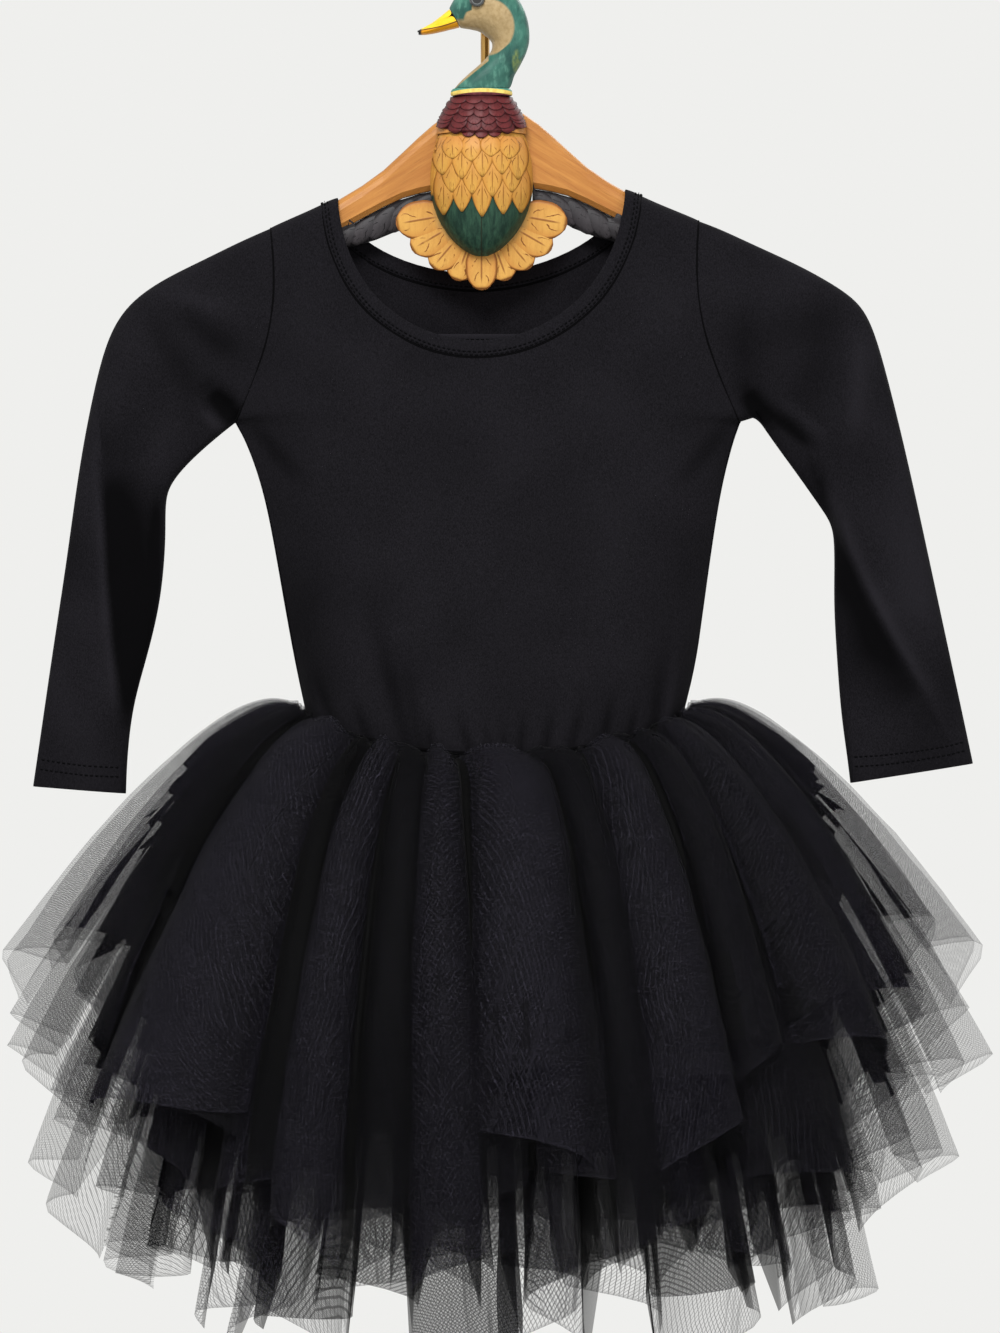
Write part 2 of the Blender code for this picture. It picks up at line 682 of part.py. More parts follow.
# ---- sleeves ---------------------------------------------------------------
def sleeve_half(row, panel_key, side):
    """One half of a sleeve ring, from its upper edge to its underarm edge."""
    outer_x, outer_z, inner_x, inner_z, front, back, fold, middle = row
    outer = np.array([outer_x, outer_z]) * MM
    inner = np.array([inner_x, inner_z]) * MM
    if abs(outer[0]) < 204 * MM:
        outer[1] = max(outer[1], float(ridge(outer[0])) + SLEEVE_CLEARANCE)
    panel = PANELS[panel_key]
    drops = np.array(armhole_drops(panel))
    length0 = drops[-1]
    length = float(np.linalg.norm(inner - outer))
    share = float(np.clip((length0 - length) / (length0 * 0.5), 0, 1))
    wrap = WRAP_RADIUS + (CUFF_WRAP - WRAP_RADIUS) * share
    low = UNDERARM_RADIUS + (CUFF_WRAP - UNDERARM_RADIUS) * share
    h = np.where(drops <= WRAP_RADIUS, drops * wrap / WRAP_RADIUS, 0)
    tail = drops >= length0 - UNDERARM_RADIUS - 1e-9
    h = np.where(tail, length - (length0 - drops) * low / UNDERARM_RADIUS, h)
    mid = (drops > WRAP_RADIUS) & ~tail
    h = np.where(mid, wrap + (drops - WRAP_RADIUS) * (length - wrap - low)
                 / (length0 - WRAP_RADIUS - UNDERARM_RADIUS), h)
    t = h / length
    depth = (front if panel_key == "front" else back) * MM
    base = (wrap + (low - wrap) * t) * cap(h / wrap) * cap((length - h) / low)
    place = fold if panel_key == "front" else 0.5
    swell = np.minimum(t / place, (1 - t) / (1 - place))
    swell = np.clip(swell, 0, 1)**FOLD_SHARPNESS
    y = base + (depth - (wrap + low) / 2) * swell
    xz = outer + (inner - outer) * t[:, None]
    y = middle * MM + panel["side"] * y
    y[0] = y[-1] = middle * MM
    return np.stack([xz[:, 0], y, xz[:, 1]], axis=-1)


def build_sleeve(name, side, table, material):
    rings = []
    front, front_normals = armhole_points(side, PANELS["front"])
    back, back_normals = armhole_points(side, PANELS["back"])
    first = np.vstack([front, back[::-1][1:-1]])
    first[:, 0] += side * SEAM_GAP / 2
    first_normals = np.vstack([front_normals, back_normals[::-1][1:-1]])
    rings.append(first)
    for row in table:
        halves = [sleeve_half(row, "front", side), sleeve_half(row, "back", side)]
        rings.append(np.vstack([halves[0], halves[1][::-1][1:-1]]))
    grid = np.array(rings)
    normals = closed_normals(grid)
    if np.mean(np.sum(normals[2] * (grid[2] - grid[2].mean(axis=0)), axis=1)) < 0:
        normals = -normals
    normals[0] = first_normals
    quads = grid_quads(len(rings), grid.shape[1], closed=True, flip=side > 0)
    part = wall_from_quads(name, grid.reshape(-1, 3), normals.reshape(-1, 3), quads,
                           JERSEY_WALL, material)
    make_outward(part)


def closed_normals(grid):
    along = np.gradient(grid, axis=0)
    around = np.roll(grid, -1, axis=1) - np.roll(grid, 1, axis=1)
    return unit(np.cross(around, along))


# ---- skirt -----------------------------------------------------------------
def flute_columns(layer, half):
    """Column angles over half a turn, with flute height and hem length there."""
    number = np.arange(FLUTES_PER_HALF)
    widths = 1 + WIDTH_SPREAD * np.sin(2.3 * number + 1.7 * layer + 2.9 * half)
    heights = 1 + HEIGHT_SPREAD * np.sin(3.7 * number + 2.1 * layer + 1.3 * half)
    hems = HEM_SPREAD * np.sin(5.1 * number + 0.9 * layer + 2.2 * half)
    starts = np.concatenate([[0], np.cumsum(widths)]) / widths.sum() * math.pi
    angles, crest, hem = [], [], []
    for i in number:
        for u in FLUTE_SAMPLES:
            angles.append(starts[i] + (starts[i + 1] - starts[i]) * u)
            crest.append(heights[i] * math.sin(math.pi * u)**FLUTE_ROUND if u else 0.0)
            hem.append(hems[i] * math.sin(math.pi * u) if u else 0.0)
    angles.append(math.pi)
    crest.append(0.0)
    hem.append(0.0)
    return np.array(angles), np.array(crest), np.array(hem)


def skirt_waist(angle, panel, inset=0.0):
    """Waist seam at an angle: 0 at the right side seam, pi at the left."""
    left, right = SIDE_SEAMS[0][1] * MM, SIDE_SEAMS[0][2] * MM
    middle, half = (left + right) / 2, (right - left) / 2
    x = middle + half * math.cos(angle)
    centre = CENTRE_DEPTH[0][panel["column"]] * MM
    y = float(panel_depth(x, waist_z(x, panel), panel)) * (1 - inset / centre)
    x -= inset * math.cos(angle)
    return np.array([x, panel["side"] * y, float(waist_z(x, panel))])


def skirt_profile(layer, angle, t):
    """Profile point (out, down) in metres and its outward normal."""
    spec = LAYERS[layer]
    front = math.sin(angle)**2
    start = np.array(FIRST_TURN) + np.array(TURN_STEP) * layer
    controls = [start]
    for at_side, at_front in zip(spec["side"], spec["front"]):
        controls.append(np.array(at_side) * (1 - front) + np.array(at_front) * front)
    here = bezier(controls, t)
    step = 0.02
    slope = bezier(controls, min(t + step, 1)) - bezier(controls, max(t - step, 0))
    slope = slope / np.linalg.norm(slope)
    return here * MM, np.array([slope[1], -slope[0]])


def build_skirt_half(layer, key, material):
    panel = PANELS[key]
    spec = LAYERS[layer]
    angles, crest, hem = flute_columns(layer, 0 if key == "front" else 1)
    rows = []
    below_seam = np.array([0, 0, SEAM_GAP + WAIST_EASE])
    top_row = [skirt_waist(a, panel, LAYER_INSET * layer) - below_seam for a in angles]
    rows.append(top_row)
    for t in spec["rows"]:
        row = []
        for angle, height, drop in zip(angles, crest, hem):
            out = np.array([math.cos(angle), panel["side"] * math.sin(angle), 0.0])
            (reach, fall), (normal_out, normal_down) = skirt_profile(layer, angle, t)
            scale = FLUTE_AT_SIDE + (1 - FLUTE_AT_SIDE) * math.sin(angle)**2
            lift = spec["flute"] * MM * scale * t**FLUTE_GROWTH * (height - FLUTE_VALLEY)
            reach += normal_out * lift
            fall += normal_down * lift + drop * t
            row.append(skirt_waist(angle, panel) + out * reach - np.array([0, 0, fall]))
        rows.append(row)
    grid = np.array(rows)
    normals = unit(np.cross(np.gradient(grid, axis=1), np.gradient(grid, axis=0)))
    if np.mean(normals[1:, :, 2]) < 0:
        normals = -normals
    along = np.gradient(grid[0], axis=0)
    normals[0] = unit(np.stack([along[:, 1], -along[:, 0], np.zeros(len(angles))], axis=-1))
    normals[0] *= panel["side"]
    for column in (0, -1):
        grid[:, column, 1] = panel["side"] * SEAM_GAP / 2
        normals[:, column, 1] = 0
        normals[:, column] = unit(normals[:, column])
    part = wall_from_quads(f"skirt_{layer + 1}_{key}", grid.reshape(-1, 3),
                           normals.reshape(-1, 3), grid_quads(*grid.shape[:2]),
                           TULLE_WALL, material)
    make_outward(part)


# ---- drake and hook --------------------------------------------------------
def half_round_solid(name, profile, material):
    """D-shaped sections with a flat back, one for each row of a profile."""
    rings = []
    for z, half_width, depth in profile:
        ring = []
        for a in np.radians(np.linspace(0, 180, 11)):
            ring.append((DRAKE_X + half_width * MM * math.cos(a),
                         DRAKE_BACK - depth * MM * math.sin(a), z * MM))
        rings.append(ring)
    loft(name, rings, material)


def build_ring(material):
    rings = []
    for z, half_width, half_depth in RING_PROFILE:
        rings.append([(DRAKE_X + half_width * MM * math.cos(a),
                       NECK_Y + half_depth * MM * math.sin(a), z * MM)
                      for a in np.linspace(0, 2 * math.pi, 16, endpoint=False)])
    loft("duck_ring", rings, material)


def head_y(z):
    """Middle of the neck in depth: it leans forward up to the head."""
    low, high = NECK_SECTIONS[0][1] * MM, EYE_Z
    share = min(max((z - low) / (high - low), 0), 1)
    return NECK_Y + (HEAD_Y - NECK_Y) * share


def swept_sections(name, sections, material, sides=12):
    """Solid through oval sections that stand across a path in the x-z plane."""
    rings = []
    for x, z, radius, half_depth, turn in sections:
        tx, tz = math.sin(math.radians(turn)), math.cos(math.radians(turn))
        ring = []
        for a in np.linspace(0, 2 * math.pi, sides, endpoint=False):
            across = radius * MM * math.cos(a)
            ring.append((x * MM + tz * across,
                         head_y(z * MM) + half_depth * MM * math.sin(a),
                         z * MM - tx * across))
        rings.append(ring)
    loft(name, rings, material)


def build_eyes(material):
    for name, side in (("duck_eye_front", -1), ("duck_eye_back", 1)):
        rings = []
        for out, share in ((0, 1.0), (0.5, 0.9), (0.85, 0.6), (1.0, 0.2)):
            y = HEAD_Y + side * (EYE_OUT + SEAT_GAP + out * EYE_HEIGHT)
            rings.append([(EYE_X + EYE_RADIUS * share * math.cos(a), y,
                           EYE_Z + EYE_RADIUS * share * math.sin(a))
                          for a in np.linspace(0, 2 * math.pi, 10, endpoint=False)])
        loft(name, rings, material)


def build_tail(material):
    """Fan of feathers: a scalloped plate with a ridge along each feather."""
    samples = 6
    count = len(TAIL_FEATHERS)
    step = math.radians(TAIL_SPREAD) / count
    start = math.pi + (math.pi - math.radians(TAIL_SPREAD)) / 2
    outline = []
    for i, length in enumerate(TAIL_FEATHERS):
        for k in range(samples):
            u = k / samples
            bump = math.sin(math.pi * u)
            radius = length * MM * (TAIL_NOTCH + (1 - TAIL_NOTCH) * bump**0.6)
            outline.append((start + step * (i + u), radius, TAIL_RIDGE * bump))
    outline.append((start + step * count, TAIL_FEATHERS[-1] * MM * TAIL_NOTCH, 0.0))
    front_rings, back_ring = [], []
    for share in (1.0, 0.6):
        front_rings.append([(DRAKE_X + r * share * math.cos(a), TAIL_FRONT + TAIL_RIDGE - rise,
                             TAIL_CENTRE_Z + r * share * math.sin(a)) for a, r, rise in outline])
    back_ring = [(x, TAIL_BACK, z) for x, _, z in front_rings[0]]
    root_front = (DRAKE_X, TAIL_FRONT + TAIL_RIDGE, TAIL_CENTRE_Z)
    root_back = (DRAKE_X, TAIL_BACK, TAIL_CENTRE_Z)
    vertices = front_rings[0] + front_rings[1] + back_ring + [root_front, root_back]
    n = len(outline)
    root, root_b = 3 * n, 3 * n + 1
    faces = []
    for i in range(n - 1):
        faces.append((i, i + 1, n + i + 1, n + i))
        faces.append((n + i, n + i + 1, root))
        faces.append((2 * n + i, root_b, 2 * n + i + 1))
        faces.append((i, 2 * n + i, 2 * n + i + 1, i + 1))
    faces.append((0, n, root, root_b, 2 * n))
    faces.append((n - 1, 3 * n - 1, root_b, root, 2 * n - 1))
    part = add_object("duck_tail", vertices, faces, material)
    make_outward(part)


def hook_path():
    """Wire centre from the free end, over the bearing point, to the rod's foot."""
    centre_z = WIRE_RADIUS - HOOK_RADIUS
    path = []
    for a in np.radians(np.linspace(HOOK_START, HOOK_END, HOOK_STEPS + 1)):
        path.append((HOOK_RADIUS * math.cos(a), centre_z + HOOK_RADIUS * math.sin(a)))
    last = np.array(path[-1])
    corner = np.array([0, last[1] - last[0] / math.tan(math.radians(60))])
    foot = np.array([0, ROD_SHOULDER_Z])
    for t in (0.25, 0.5, 0.75, 1.0):
        path.append(tuple((1 - t)**2 * last + 2 * (1 - t) * t * corner + t**2 * foot))
    path.append((0, float(arm_top(0)) + SEAT_GAP))
    return np.array(path)


def build_hook(material, sides=8):
    path = hook_path()
    tangents = unit(np.gradient(path, axis=0))
    tangents[-1] = (0, -1)
    rings = []
    for (x, z), (tx, tz) in zip(path, tangents):
        rings.append([(x - tz * WIRE_RADIUS * math.cos(a), WIRE_RADIUS * math.sin(a),
                       z + tx * WIRE_RADIUS * math.cos(a))
                      for a in np.linspace(0, 2 * math.pi, sides, endpoint=False)])
    loft("hanger_hook", rings, material)


# ---- everything ------------------------------------------------------------
def build_materials():
    return dict(
        jersey=make_material("black_jersey", (0.014, 0.013, 0.017), 0.85),
        tulle=make_material("black_tulle", (0.012, 0.012, 0.016), 0.8),
        wood=make_material("warm_wood", (0.58, 0.26, 0.08), 0.45),
        ochre=make_material("ochre_paint", (0.66, 0.34, 0.06), 0.4),
        tan=make_material("tan_feather_paint", (0.75, 0.4, 0.1), 0.45),
        burgundy=make_material("burgundy_paint", (0.12, 0.025, 0.035), 0.45),
        green=make_material("green_paint", (0.02, 0.12, 0.1), 0.35),
        yellow=make_material("yellow_paint", (0.85, 0.5, 0.04), 0.35),
        charcoal=make_material("charcoal_paint", (0.03, 0.03, 0.035), 0.6),
        black=make_material("black_gloss", (0.01, 0.01, 0.01), 0.1),
        brass=make_material("brass", (0.75, 0.55, 0.25), 0.25, 1.0),
    )


def build_all():
    for existing in list(bpy.data.objects):
        bpy.data.objects.remove(existing, do_unlink=True)
    materials = build_materials()
    build_panel("bodice_front", PANELS["front"], materials["jersey"])
    build_panel("bodice_back", PANELS["back"], materials["jersey"])
    build_binding(materials["jersey"])
    build_inner_band(materials["jersey"])
    build_sleeve("sleeve_left", -1, SLEEVE_LEFT, materials["jersey"])
    build_sleeve("sleeve_right", 1, SLEEVE_RIGHT, materials["jersey"])
    for layer in range(len(LAYERS)):
        for key in PANELS:
            build_skirt_half(layer, key, materials["tulle"])
    build_bar(materials["wood"])
    build_feather_bands(materials["charcoal"])
    half_round_solid("duck_body", BODY_PROFILE, materials["ochre"])
    half_round_solid("duck_breast", BREAST_PROFILE, materials["burgundy"])
    build_ring(materials["yellow"])
    swept_sections("duck_neck", NECK_SECTIONS, materials["green"])
    swept_sections("duck_beak", BEAK_SECTIONS, materials["yellow"], sides=10)
    build_eyes(materials["black"])
    build_tail(materials["tan"])
    build_hook(materials["brass"])


build_all()
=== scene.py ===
"""Looks for a child's black tutu dress on a carved wooden drake hanger.

Metres, +Z up, the front faces -Y.  Tables are in millimetres, scaled by MM.
"""
import math

import bmesh
import bpy
import numpy as np
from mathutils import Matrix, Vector, noise
from mathutils.bvhtree import BVHTree


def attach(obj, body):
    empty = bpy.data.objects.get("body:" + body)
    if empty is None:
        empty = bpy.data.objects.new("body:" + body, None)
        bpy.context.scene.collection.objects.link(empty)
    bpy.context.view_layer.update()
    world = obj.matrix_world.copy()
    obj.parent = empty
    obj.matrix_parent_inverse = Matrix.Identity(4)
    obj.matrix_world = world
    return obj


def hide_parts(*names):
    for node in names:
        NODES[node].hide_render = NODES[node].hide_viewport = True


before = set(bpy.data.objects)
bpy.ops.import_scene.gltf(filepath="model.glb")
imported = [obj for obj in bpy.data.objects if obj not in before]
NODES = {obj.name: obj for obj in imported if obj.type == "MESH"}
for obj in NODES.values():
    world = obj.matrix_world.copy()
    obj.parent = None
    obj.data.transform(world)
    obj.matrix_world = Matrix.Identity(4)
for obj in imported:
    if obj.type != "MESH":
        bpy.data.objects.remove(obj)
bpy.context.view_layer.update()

MM = 0.001
COLLECTION = bpy.context.scene.collection
noise.seed_set(4)              # noise_vector draws from this seed, so the tulle repeats


# ---- node helpers ----------------------------------------------------------
def math_method(operation, swapped=False):
    """A method of Value that adds one Math node."""
    def method(value, *others):
        values = (*others, value) if swapped else (value, *others)
        return value.shader.node("Math", values, operation=operation)
    return method


class Value:
    """An output of a material's nodes, so that sums with it can be written as sums."""

    def __init__(self, shader, socket):
        self.shader, self.socket = shader, socket

    __add__, __sub__ = math_method("ADD"), math_method("SUBTRACT")
    __mul__, __truediv__ = math_method("MULTIPLY"), math_method("DIVIDE")
    __rsub__, __abs__ = math_method("SUBTRACT", swapped=True), math_method("ABSOLUTE")
    or_more, part = math_method("MAXIMUM"), math_method("FRACT")
    root, wave = math_method("SQRT"), math_method("SINE")

    def ramp(self, low, high, to_low=0.0, to_high=1.0):
        return self.shader.node("MapRange", [self, low, high, to_low, to_high])


class Shader:
    """A material with a few short ways to add and join nodes."""

    def __init__(self, name, base_color, **values):
        self.material = bpy.data.materials.new(name)
        self.material.use_nodes = True
        self.material.diffuse_color = base_color
        self.tree = self.material.node_tree
        self.place = self.node("TexCoord", out="Object")
        self.surface(base_color=base_color, **values)

    def surface(self, **values):
        """Give the surface's own sockets these values or nodes."""
        sockets = self.tree.nodes["Principled BSDF"].inputs
        for key, value in values.items():
            self.put(sockets[key.replace("_", " ").title().replace("Ior", "IOR")], value)
        return self.material

    def put(self, socket, value):
        if isinstance(value, Value):
            self.tree.links.new(value.socket, socket)
        elif value is not None:
            socket.default_value = value

    def node(self, kind, inputs=(), out=0, **settings):
        made = self.tree.nodes.new("ShaderNode" + kind)
        for key, value in settings.items():
            setattr(made, key, value)
        pairs = inputs.items() if isinstance(inputs, dict) else enumerate(inputs)
        for key, value in pairs:
            self.put(made.inputs[key], value)
        return Value(self, made.outputs[out])

    def mix(self, factor, a, b):
        return self.node("Mix", {0: factor, 6: a, 7: b}, out=2, data_type="RGBA")

    def split(self, vector):
        parts = self.node("SeparateXYZ", [vector]).socket.node
        return [Value(self, socket) for socket in parts.outputs]

    def uv(self):
        return self.split(self.node("UVMap", uv_map="UVMap"))[:2]

    def attribute(self, name):
        return self.node("Attribute", out="Fac", attribute_name=name)

    def noise(self, scale=1.0, detail=2.0, rough=0.5, stretch=None, at=None):
        vector = at or self.place
        if stretch:
            vector = self.node("Mapping", {"Vector": vector, "Scale": stretch})
        return self.node("TexNoise", {"Vector": vector, "Scale": scale, "Detail": detail,
                                      "Roughness": rough})

    def bump(self, height, depth, strength=1.0, below=None):
        return self.node("Bump", {"Strength": strength, "Distance": depth * MM, "Height": height,
                                  "Normal": below})


def rgb(r, g, b):
    """Linear colour of an 8-bit screen colour."""
    parts = [v / 255 for v in (r, g, b)]
    return tuple(v / 12.92 if v <= 0.04045 else ((v + 0.055) / 1.055)**2.4 for v in parts) + (1,)


def scaled(colour, level):
    return tuple(v * level for v in colour[:3]) + (1,)


PAINT_LEVEL = 0.72             # keeps paint and wood from glaring under the key light


def paint(r, g, b):
    return scaled(rgb(r, g, b), PAINT_LEVEL)


# ---- materials of the dress ------------------------------------------------
JERSEY = rgb(19, 18, 21)
RIB, COURSE = 0.9 * MM, 0.7 * MM    # the knit's loops, across and down
NET = rgb(17, 16, 21)
NET_CELL = 2.3 * MM
NET_THREAD = 0.155             # share of a cell that one set of threads covers


def jersey_material(name):
    """Matte interlock jersey: fine ribs and loops, with painted shade in its creases and a painted
    highlight on its ridges.
    """
    s = Shader(name, JERSEY, roughness=0.92, sheen_weight=0.01, sheen_roughness=0.5,
               specular_ior_level=0.03)
    loops = s.noise(stretch=(1500, 1500, 900))
    cloud = s.noise(13.0, 3.0)
    shade = s.mix(loops.ramp(0.3, 0.7), scaled(JERSEY, 0.62), scaled(JERSEY, 1.5))
    shade = s.mix(cloud.ramp(0.3, 0.7, 0, 0.3), shade, scaled(JERSEY, 0.7))
    # painted shade in the crease troughs and a painted highlight on the ridges
    fold = s.attribute("fold")
    shade = s.mix(fold.ramp(0.5, 0.0), shade, scaled(JERSEY, 0.22))
    shade = s.mix(fold.ramp(0.5, 1.0, 0, 0.8), shade, scaled(JERSEY, 2.3))
    x, y, z = s.split(s.place)
    knit = (x * (2 * math.pi / RIB)).wave() * (z * (2 * math.pi / COURSE)).wave()
    fine = s.bump(knit * 0.35 + loops, 0.25, 0.5)
    return s.surface(base_color=shade, normal=s.bump(cloud, 3, 0.4, fine))


def thread_material():
    s = Shader("sewing_thread", rgb(9, 9, 10), roughness=0.9, specular_ior_level=0.02)
    twist = s.noise(2600.0, 1.0)
    return s.surface(base_color=s.mix(twist, rgb(3, 3, 3), rgb(16, 16, 18)),
                    normal=s.bump(twist, 0.1))


def tulle_material(name, level, cell=NET_CELL, thread=NET_THREAD, weave=(0.86, 0.5),
                   ground=0.13, strong=0.78):
    """Net of two crossed sets of threads, sheer between them.

    Ground and strong are how much it hides between its threads and on them.
    """
    tint = scaled(NET, level)
    s = Shader(name, tint, roughness=0.7, sheen_weight=0.015, specular_ior_level=0.05)
    u, v = s.uv()
    shift = s.noise(130.0, 1.0) * (0.5 * cell)
    lines = []
    for lean in (-1, 1):
        run = (u * weave[0] + v * (weave[1] * lean) + shift) / cell
        lines.append(abs(run.part() - 0.5).ramp(thread / 2 + 0.05, thread / 2 - 0.05))
    cover = lines[0].or_more(lines[1]).ramp(0.0, 1.0, ground, strong)
    tone, sheer = s.attribute("tone"), s.attribute("sheer")
    across = s.node("CombineXYZ", [u, v * 0.045, 0.0])
    gathers = s.noise(170.0, 3.0, 0.7, at=across)
    streak = gathers.ramp(0.47, 0.66) * v.ramp(0.03, 0.12)
    # the net is also made denser where the painted shade lies between folds
    dense = (tone.ramp(0.3, 0.0) * 0.93).or_more(streak * 0.6) * sheer.ramp(0.0, 0.7, 1.0, 0.05)
    cover = cover.or_more(dense.or_more(s.attribute("edge") * 0.45))
    clear = (1.0 - s.attribute("fade")) * sheer.ramp(0.3, 1.0, 1.0, 0.72)
    cloud, grain = s.noise(60.0, 1.0), s.noise(820.0, 1.0)
    body = s.mix(cloud.ramp(0.3, 0.75), scaled(tint, 0.75), scaled(tint, 1.25))
    # painted shade between folds and a painted highlight along their turned edges
    for share, shade in ((grain.ramp(0.5, 0.38), 0.3), (grain.ramp(0.5, 0.62), 2.3),
                         (streak * 0.6, 0.2), (tone.ramp(0.5, 0.08), 0.02),
                         (tone.ramp(0.5, 1.0), 3.1)):
        body = s.mix(share, body, scaled(tint, shade))
    return s.surface(base_color=body, alpha=cover * clear)


# ---- materials of the hanger -----------------------------------------------
MIDDLE_X = -2                           # the middle of the drake
EYE = (-4.5, -63.8)
CHEEK = (2, -79, 14.6, 15.5)            # x, z, half width, half height of the tan cheek
WORN_PATCH = (18.2, -98.5, 2.6, 6)      # and of a worn patch behind the neck
MOUTH = (-17, -76)                      # where the mouth line leaves the cheek
BELLY_TOP = -173                        # where the green belly turns to ochre
BREAST_LOW = -141                       # middle of the burgundy's lower edge
BREAST_CURVE = 11.0                     # how fast it rises sideways, per metre
STRIPE = (-1, -114.7)                   # highest place of the yellow stripe
STRIPE_HALF = 1.1
STRIPE_CURVE = 5.0                      # how fast it falls sideways, per metre
CARVED_EDGE = math.radians(42)          # edges sharper than this stay crisp


def wood_material(name, dark, light):
    """Fine grain that runs down each arm, under satin varnish."""
    s = Shader(name, light, roughness=0.5, coat_weight=0.1, coat_roughness=0.3,
               specular_ior_level=0.2)
    x, y, z = s.split(s.place)
    place = s.node("CombineXYZ", [x, y, z + abs(x) * 0.6])
    grain = s.noise(1.0, 5.0, 0.6, stretch=(22, 150, 330), at=place)
    streak = s.noise(1.0, 3.0, stretch=(90, 800, 1700), at=place)
    cloud = s.noise(30.0, at=place)
    body = s.mix(grain.ramp(0.3, 0.72), dark, light)
    body = s.mix(streak.ramp(0.58, 0.75, 0, 0.5), body, scaled(dark, 0.5))
    body = s.mix(cloud.ramp(0.45, 0.75, 0, 0.35), body, scaled(dark, 0.9))
    return s.surface(base_color=body, roughness=streak.ramp(0.3, 0.7, 0.42, 0.6),
                     normal=s.bump(streak, 0.1, 0.4, s.bump(grain, 0.2, 0.3)))


def satin(name, base, rough=0.5, coat=0.05):
    return Shader(name, base, roughness=rough, coat_weight=coat, coat_roughness=0.35,
                  specular_ior_level=0.16)


def feather_material(name, root, tip, line, shade, veins=3.0, rib=True, edge=0.82, stain=None,
                     rim_level=0.8):
    """Painted feather: U runs from root to tip, V from edge to edge."""
    s = satin(name, tip)
    u, v = s.uv()
    side = abs(v)
    grain = s.noise(2.0, 4.0, 0.6, stretch=(260, 260, 60))
    worn = s.noise(190.0)
    body = s.mix(u.ramp(0.05, 0.8), root, tip)
    body = s.mix(grain.ramp(0.42, 0.75, 0, 0.4), body, scaled(root, 0.7))
    body = s.mix(side.ramp(0.45, 1.0, 0, 0.6), body, shade)
    slanted = u * veins - side * 1.6 + worn * 0.8
    vein = abs(slanted.part() - 0.5).ramp(0.07, 0.03)
    marks = vein * (side.ramp(0.16, 0.2) * side.ramp(0.62, 0.55) * worn.ramp(0.42, 0.5))
    if rib:
        middle = side.ramp(0.07, 0.03) * u.ramp(0.92, 0.8) * u.ramp(0.34, 0.46, 0, 0.8)
        broken = s.noise(detail=1.0, stretch=(90, 90, 90)).ramp(0.36, 0.46)
        marks = marks.or_more(middle * broken)
    rim = side.ramp(edge, edge + 0.1).or_more(u.ramp(0.955, 0.985))
    marks = marks.or_more(rim * rim_level)
    body = s.mix(marks, body, line)
    if stain:
        body = s.mix(u.ramp(0.42, 0.12, 0, 0.75), body, stain)
    return s.surface(base_color=body, normal=s.bump(grain - marks, 0.3, 0.6))


def head_material():
    """Teal head and neck with a painted highlight down its front and low on the neck, and a tan
    cheek and throat.
    """
    s = satin("painted_head", paint(40, 110, 95), 0.42, 0.2)
    x, y, z = s.split(s.place)
    brush = s.noise(1.6, 5.0, 0.6, stretch=(190, 60, 70))
    broad = s.noise(55.0)

    def between(value, low, high):
        return value.ramp(low * MM, high * MM)

    def blob(cx, cz, rx, rz, soft=0.08):
        dx, dz = (x - cx * MM) / (rx * MM), (z - cz * MM) / (rz * MM)
        return (dx * dx + dz * dz).root().ramp(1 + soft / 2, 1 - soft / 2)

    # painted highlight: lighter teal where the neck faces forward and low on the neck
    front = between(y, -4, -13) * broad.ramp(0.3, 0.62, 0.35, 1)
    light = front.or_more(between(z, -103, -110) * broad.ramp(0.3, 0.6, 0.5, 1))
    green = s.mix(light, paint(16, 52, 50), paint(60, 114, 100))
    green = s.mix(brush.ramp(0.5, 0.68, 0, 0.6), green, paint(20, 66, 62))
    green = s.mix(brush.ramp(0.46, 0.34, 0, 0.5), green, paint(98, 152, 134))
    tan = s.mix(s.noise(420.0, 3.0).ramp(0.35, 0.65), paint(158, 134, 92), paint(178, 154, 112))
    tan = s.mix(broad.ramp(0.4, 0.7, 0, 0.4), tan, paint(136, 116, 80))
    throat = between(x, 2.3, 1.7) * between(z, -74, -76)
    # the tan ends on a slanted line down the neck, and the green comes forward under the eye
    mask = blob(*CHEEK).or_more(throat) * between(z - x * 0.8, -99.9, -99.2)
    lore = between(z - x * 0.3, -67.9, -67.2) * between(x, -7.1, -7.8)
    body = s.mix(mask * (1.0 - lore), green, tan)
    patch = blob(*WORN_PATCH, soft=0.5) * brush.ramp(0.42, 0.56)
    return s.surface(base_color=s.mix(patch, body, paint(120, 140, 84)),
                     normal=s.bump(brush, 0.2, 0.4))


def beak_material():
    s = satin("painted_beak", paint(236, 176, 24), 0.36, 0.25)
    x, y, z = s.split(s.place)
    broad = s.noise(1.5, 3.0, stretch=(60, 200, 200))
    body = s.mix(broad.ramp(0.4, 0.7), paint(246, 190, 20), paint(255, 222, 50))
    # the mouth line bows down from the cheek to the tip, with orange below it
    back = x - MOUTH[0] * MM
    off = z - (back * 0.36 + MOUTH[1] * MM + back * back * 7.0)
    body = s.mix(off.ramp(0.4 * MM, -0.6 * MM), body, paint(226, 152, 16))
    body = s.mix(abs(off).ramp(0.5 * MM, 0.2 * MM), body, paint(104, 60, 18))
    body = s.mix(x.ramp(-35.6 * MM, -36.6 * MM), body, paint(22, 18, 16))
    return s.surface(base_color=body, normal=s.bump(broad, 0.2, 0.4))


def brass_material():
    s = Shader("polished_brass", rgb(190, 150, 84), roughness=0.24, metallic=1.0)
    scuff = s.noise(1.0, 4.0, stretch=(400, 400, 60))
    body = s.mix(scuff.ramp(0.45, 0.75), rgb(198, 158, 92), rgb(132, 94, 44))
    return s.surface(base_color=body, roughness=scuff.ramp(0.3, 0.8, 0.16, 0.42),
                     normal=s.bump(scuff, 0.05, 0.4))


